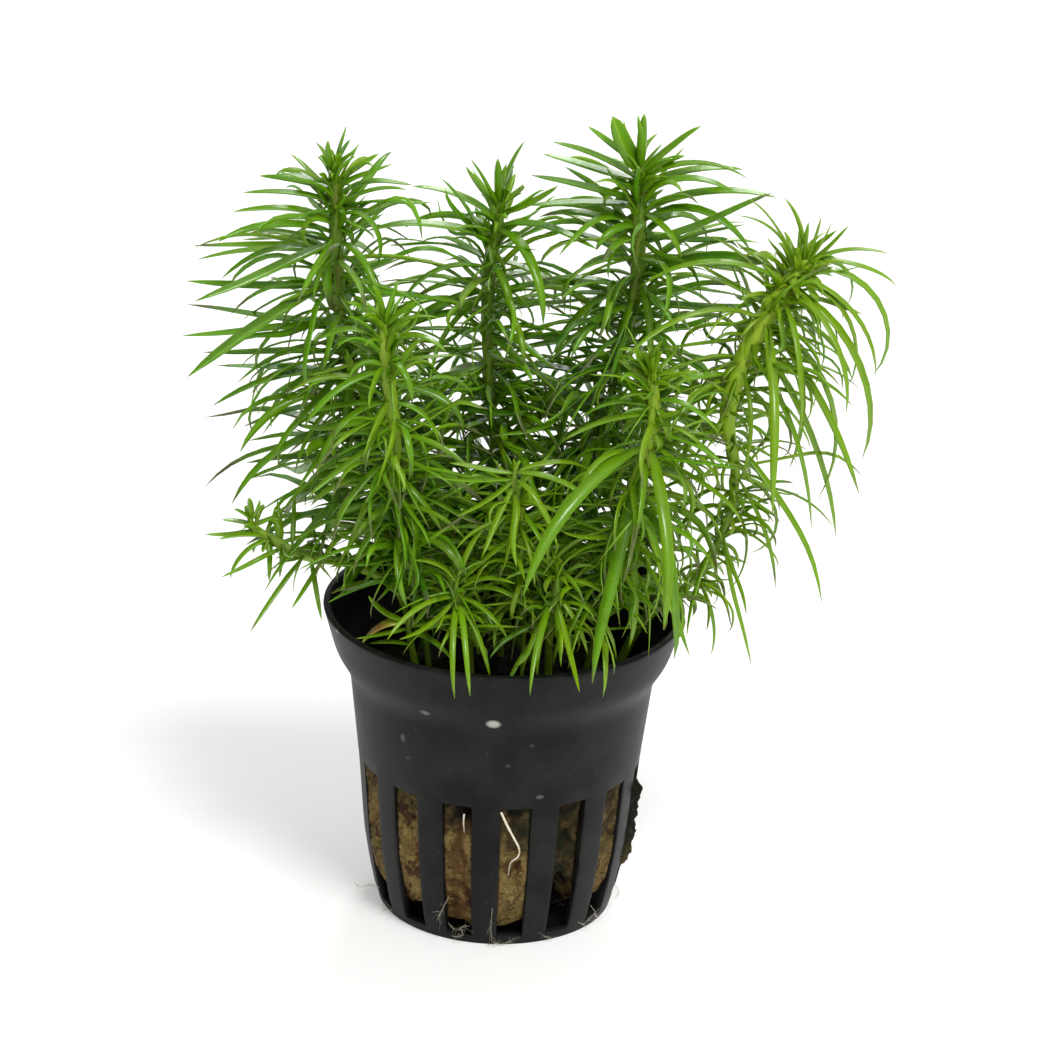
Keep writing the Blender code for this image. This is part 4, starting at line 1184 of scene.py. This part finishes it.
def leaf_tones(name, leaves, seed):
    """Tone of each leaf: its own green, how yellow it is and how far its tip has dried.

    The front right shoot's leaves that stand out stay green almost to the tip.
    """
    rng = np.random.default_rng(seed)
    count = len(leaves)
    at, kind = leaves[:, 3], leaves[:, 8]
    young = np.exp(-at / 9.0)
    spread = np.where(kind > 0, 0.5, 1.0)
    own = np.clip(0.48 + spread * rng.normal(0, 0.22, count) + 0.2 * young, 0.02, 1.0)
    yellow = np.clip(LOOKS[name][0] + spread * rng.normal(0, 0.15, count) + 0.15 * young, 0.0, 0.95)
    dry = np.clip(rng.normal(0.28, 0.32, count) + 0.3 * (kind <= WISP), 0.0, 1.0)
    dry = dry * np.clip(at / 8.0 - 0.6, 0, 1)
    yellow = np.where(kind > 0, yellow - 0.1, yellow)
    if name == "front_right_shoot":
        dry = np.where(kind > 0, 0.2 * dry, dry)
    dry = np.where(kind == OLD, 2.0, dry)
    return np.repeat(np.stack([own, yellow, dry], axis=-1), LEAF_ROWS * LEAF_COLUMNS, axis=0)


def stem_surface(stem, leaves, radius, lightness):
    """A stem: rings along a smooth line, thinner to both its ends, with a low swelling at each whorl.

    The tone's second number is how light it is: a light stem darkens from 28 mm below its tip, and
    a dark one grows lighter from 16 mm.
    """
    line = smooth(stem, 10)
    step = np.arange(0.0, along(line, 0)[1], 0.45)
    spots = np.unique(np.round(leaves[leaves[:, 8] > WISP, 3], 1))
    swell = np.exp(-((step[:, None] - spots[None]) / 0.35) ** 2).max(axis=1)
    shape = np.interp(step, [0.0, 3.0, 9.0, 20.0, 27.0, 34.0], [0.4, 0.75, 1.0, 0.95, 0.75, 0.45])
    thick = shape * radius * (0.94 + 0.08 * swell)
    points = strands(along(line, step)[0][None], thick[None], STEM_SIDES)
    stretch, change = ([28.0, 44.0], [1.0, 0.35]) if lightness > 0.5 else ([16.0, 32.0], [1.0, 1.8])
    light = np.repeat(lightness * np.interp(step, stretch, change), STEM_SIDES)
    return points, tube_faces(1, len(step), STEM_SIDES), np.column_stack([0 * light, light, 0 * light])


def root_hairs(number, spots):
    """One fine root at the pot's foot and twelve hairs beside it, as lines and how thick each is.

    A hair follows a stretch of the root, drawn aside more and more, in proportion to the square of
    how far along it is.
    """
    hairs, steps = 12, 24
    rng = np.random.default_rng(SEED + 80 + number)
    bearing, z, out = np.array(spots).T
    line = smooth(polar(bearing, wall(POT_OUTER, z) + out, np.maximum(z, 0.4)))
    t = np.linspace(0, 1, steps)
    begin = np.concatenate([[0.0], rng.uniform(0, 0.75, hairs)])[:, None]
    end = np.concatenate([[1.0], rng.uniform(0.2, 0.45, hairs)])[:, None] + begin * (begin > 0)
    lines = along(line, along(line, 0)[1] * np.clip(begin + (end - begin) * t, 0, 1))[0]
    loose = (begin > 0)[..., None] * (t**2)[None, :, None]
    each = (hairs + 1, 1, 3)
    wave = np.sin(2 * np.pi * (t[None, :, None] * rng.uniform(0.8, 1.8, each) + rng.uniform(0, 1, each)))
    lines = lines + (rng.normal(0, 0.75, each) + 0.3 * wave + np.array([0.0, 0.0, -0.25])) * loose
    reach = np.hypot(lines[..., 0], lines[..., 1])
    lines[..., 2] = np.maximum(lines[..., 2], 0.12)
    wide = np.maximum(reach, wall(POT_OUTER, lines[..., 2]) + 0.08)
    lines[..., :2] *= (wide / reach)[..., None]
    return lines, np.where(begin > 0, 0.45, 1.0) * np.linspace(1.0, 0.5, steps)


class PLANT_OT_pot(bpy.types.Operator):
    """Builds the slotted pot: its outer skin, thickened inwards, with rounded edges"""
    bl_idname = "potted_plant.pot"
    bl_label = "Pot"

    def execute(self, context):
        settings = context.scene.potted_plant.pot
        points, faces = pot_surface()
        skin = moulded_polypropylene(settings)
        pot = make_piece("net_pot", ["pot"], [(points, faces, skin, 0.0, 0.0)])
        shell = pot.modifiers.new("Wall", "SOLIDIFY")
        shell.thickness = settings.wall
        shell.offset = -1.0
        edge = pot.modifiers.new("Edges", "BEVEL")
        edge.width = settings.edge
        edge.segments = 2
        edge.limit_method = "ANGLE"
        edge.angle_limit = np.radians(35)
        return {"FINISHED"}


class PLANT_OT_wool(bpy.types.Operator):
    """Builds the rockwool plug, the lump that is pushed out of it and its loose fibres"""
    bl_idname = "potted_plant.wool"
    bl_label = "Rockwool"

    def execute(self, context):
        settings = context.scene.potted_plant.wool
        wool = felted_rockwool(settings)
        for name, nodes, surfaces in (
                ("felted_plug", ["rockwool_plug"], (plug_surface(settings.relief), lump_surface())),
                ("wool_fibres", (), (wool_fibres(),))):
            make_piece(name, nodes, [
                (points, faces, wool, 0.0, tone) for points, faces, tone in surfaces])
        return {"FINISHED"}


class PLANT_OT_shoots(bpy.types.Operator):
    """Builds every shoot: its stem and all its leaves"""
    bl_idname = "potted_plant.shoots"
    bl_label = "Shoots"

    def execute(self, context):
        settings = context.scene.potted_plant.foliage
        leaf = living_leaf(settings)
        skin = green_stem(settings)
        stems, leaves = plan()
        for index, name in enumerate(SHOOTS):
            rows = leaves[name]
            stout, lightness = LOOKS[name][3:5]
            blades, blade_faces, blade_map = leaf_surfaces(name, rows, SEED + 100 + index, settings.leaf / MM)
            tones = leaf_tones(name, rows, SEED + 200 + index)
            stem, stem_faces, stem_tone = stem_surface(
                stems[name], rows, stout * settings.stem / MM, lightness)
            make_piece("leafy_" + name, [name], [
                (blades, blade_faces, leaf, blade_map, tones), (stem, stem_faces, skin, 0.5, stem_tone)])
        return {"FINISHED"}


class PLANT_OT_roots(bpy.types.Operator):
    """Builds the two roots in the front slots and the fine root hairs at the foot"""
    bl_idname = "potted_plant.roots"
    bl_label = "Roots"

    def execute(self, context):
        settings = context.scene.potted_plant.roots
        skin = pale_root(settings)
        for name, spots, stout, old in (
                ("white_root", WHITE_ROOT, 1.0, 0.0), ("short_root", SHORT_ROOT, 0.8, 0.6)):
            bearing, z = np.array(spots).T
            line = smooth(polar(bearing, wall(POT_OUTER, z) + 0.1, z), 6)
            steps = len(line)
            radii = stout * settings.radius / MM * np.linspace(1.05, 0.6, steps)
            radii = radii * (1 + 0.06 * rough(line, 1.6, 3))
            down = np.repeat(np.linspace(old, 1, steps), ROOT_SIDES)
            make_piece("living_" + name, [name], [(
                strands(line[None], radii[None], ROOT_SIDES), tube_faces(1, steps, ROOT_SIDES), skin,
                np.column_stack([0 * down, down]), 0.0)])
        tufts = [root_hairs(number, spots) for number, spots in enumerate(ROOT_HAIRS)]
        make_piece("root_hairs", (), [
            (strands(lines, settings.hair / MM * radii, HAIR_SIDES), tube_faces(*lines.shape[:2], HAIR_SIDES),
             skin, 0.88, 0.0) for lines, radii in tufts])
        return {"FINISHED"}


def lay_floor(scene, colour):
    """A floor of opal glass, lit from below as well, which keeps shadows faint."""
    white = (1.0, 1.0, 1.0, 1.0)
    glass = new_material(
        "opal light table", Roughness=0.9, Specular_IOR_Level=0.1, Base_Color=tuple(colour),
        Emission_Color=white, Emission_Strength=0.3)[0]
    mesh = bpy.data.meshes.new("floor")
    mesh.from_pydata([(-3, -3, 0), (3, -3, 0), (3, 3, 0), (-3, 3, 0)], [], [(0, 1, 2, 3)])
    mesh.materials.append(glass)
    floor = bpy.data.objects.new("floor", mesh)
    scene.collection.objects.link(floor)


def hang_tent(scene):
    """A white tent around the plant, darker on the left."""
    world = bpy.data.worlds.new("white tent")
    world.use_nodes = True
    tree = world.node_tree
    sky = tree.nodes["Background"]
    sky.inputs["Color"].default_value = (1.0, 1.0, 1.0, 1.0)
    way = add_node(tree, "ShaderNodeTexCoord").outputs["Generated"]
    part = add_node(tree, "ShaderNodeSeparateXYZ", {0: way})
    side = add_node(tree, "ShaderNodeMapRange", {
        "Value": part.outputs[0], "From Min": -0.9, "From Max": 0.3, "To Min": 0.2, "To Max": 0.8})
    connect(tree, sky, Strength=side.outputs[0])
    scene.world = world


def set_lights(scene):
    """Two soft suns: the key light above the front, and a weaker one from behind."""
    for name, toward, spread, strength in (
            ("key", (0.25, -0.5, 1.0), 18.0, 1.9), ("back", (0.15, 0.8, 0.8), 14.0, 0.8)):
        light = bpy.data.lights.new(name, "SUN")
        light.angle = np.radians(spread)
        light.energy = strength
        lamp = bpy.data.objects.new(name, light)
        lamp.location = Vector(toward)
        lamp.rotation_euler = (-Vector(toward)).to_track_quat("-Z", "Y").to_euler()
        scene.collection.objects.link(lamp)


def set_camera(scene, settings):
    """The photo's camera: it looks down at AIM from the front, and is turned about its own axis."""
    data = bpy.data.cameras.new("camera")
    data.sensor_width = SENSOR
    data.lens = SENSOR * FOCAL_PX / FRAME_PX
    data.clip_start = 0.05
    data.clip_end = 20.0
    camera = bpy.data.objects.new("camera", data)
    back = Vector((0.0, -np.cos(settings.height), np.sin(settings.height)))
    right = Vector((1.0, 0.0, 0.0))
    up = back.cross(right)
    turned_right = right * np.cos(settings.roll) + up * np.sin(settings.roll)
    turned_up = up * np.cos(settings.roll) - right * np.sin(settings.roll)
    turn = Matrix((turned_right, turned_up, back)).transposed().to_4x4()
    camera.matrix_world = Matrix.Translation(Vector(AIM) + back * settings.distance) @ turn
    scene.collection.objects.link(camera)
    scene.camera = camera


class PLANT_OT_stage(bpy.types.Operator):
    """Sets the floor, the soft lights and the camera"""
    bl_idname = "potted_plant.stage"
    bl_label = "Stage"

    def execute(self, context):
        settings = context.scene.potted_plant.stage
        lay_floor(context.scene, settings.floor)
        hang_tent(context.scene)
        set_lights(context.scene)
        set_camera(context.scene, settings)
        context.scene.view_settings.view_transform = "Standard"
        return {"FINISHED"}


class PLANT_PT_panel(bpy.types.Panel):
    """Lists the plant's sizes and colours, and the buttons that build it"""
    bl_idname = "PLANT_PT_panel"
    bl_label = "Potted plant"
    bl_space_type = "VIEW_3D"
    bl_region_type = "UI"
    bl_category = "Potted plant"

    def draw(self, context):
        settings = context.scene.potted_plant
        for name, operator in (
                ("pot", "pot"), ("wool", "wool"), ("foliage", "shoots"), ("roots", "roots"),
                ("stage", "stage")):
            group = getattr(settings, name)
            box = self.layout.box()
            for prop in group.bl_rna.properties:
                if prop.identifier in type(group).__annotations__:
                    box.prop(group, prop.identifier)
            box.operator("potted_plant." + operator)


CLASSES = (
    PotSettings, WoolSettings, FoliageSettings, RootSettings, StageSettings, PlantSettings,
    PLANT_OT_pot, PLANT_OT_wool, PLANT_OT_shoots, PLANT_OT_roots, PLANT_OT_stage, PLANT_PT_panel,
)


def register():
    """Makes the classes known, and gives the scene its settings."""
    for item in CLASSES:
        bpy.utils.register_class(item)
    bpy.types.Scene.potted_plant = PointerProperty(type=PlantSettings)


def unregister():
    """Takes away what register has made."""
    del bpy.types.Scene.potted_plant
    for item in reversed(CLASSES):
        bpy.utils.unregister_class(item)


def main():
    """Makes the classes known, then builds the stage, the pot, the wool, the shoots and the roots."""
    register()
    bpy.ops.potted_plant.stage()
    bpy.ops.potted_plant.pot()
    bpy.ops.potted_plant.wool()
    bpy.ops.potted_plant.shoots()
    bpy.ops.potted_plant.roots()


if __name__ == "__main__":
    main()
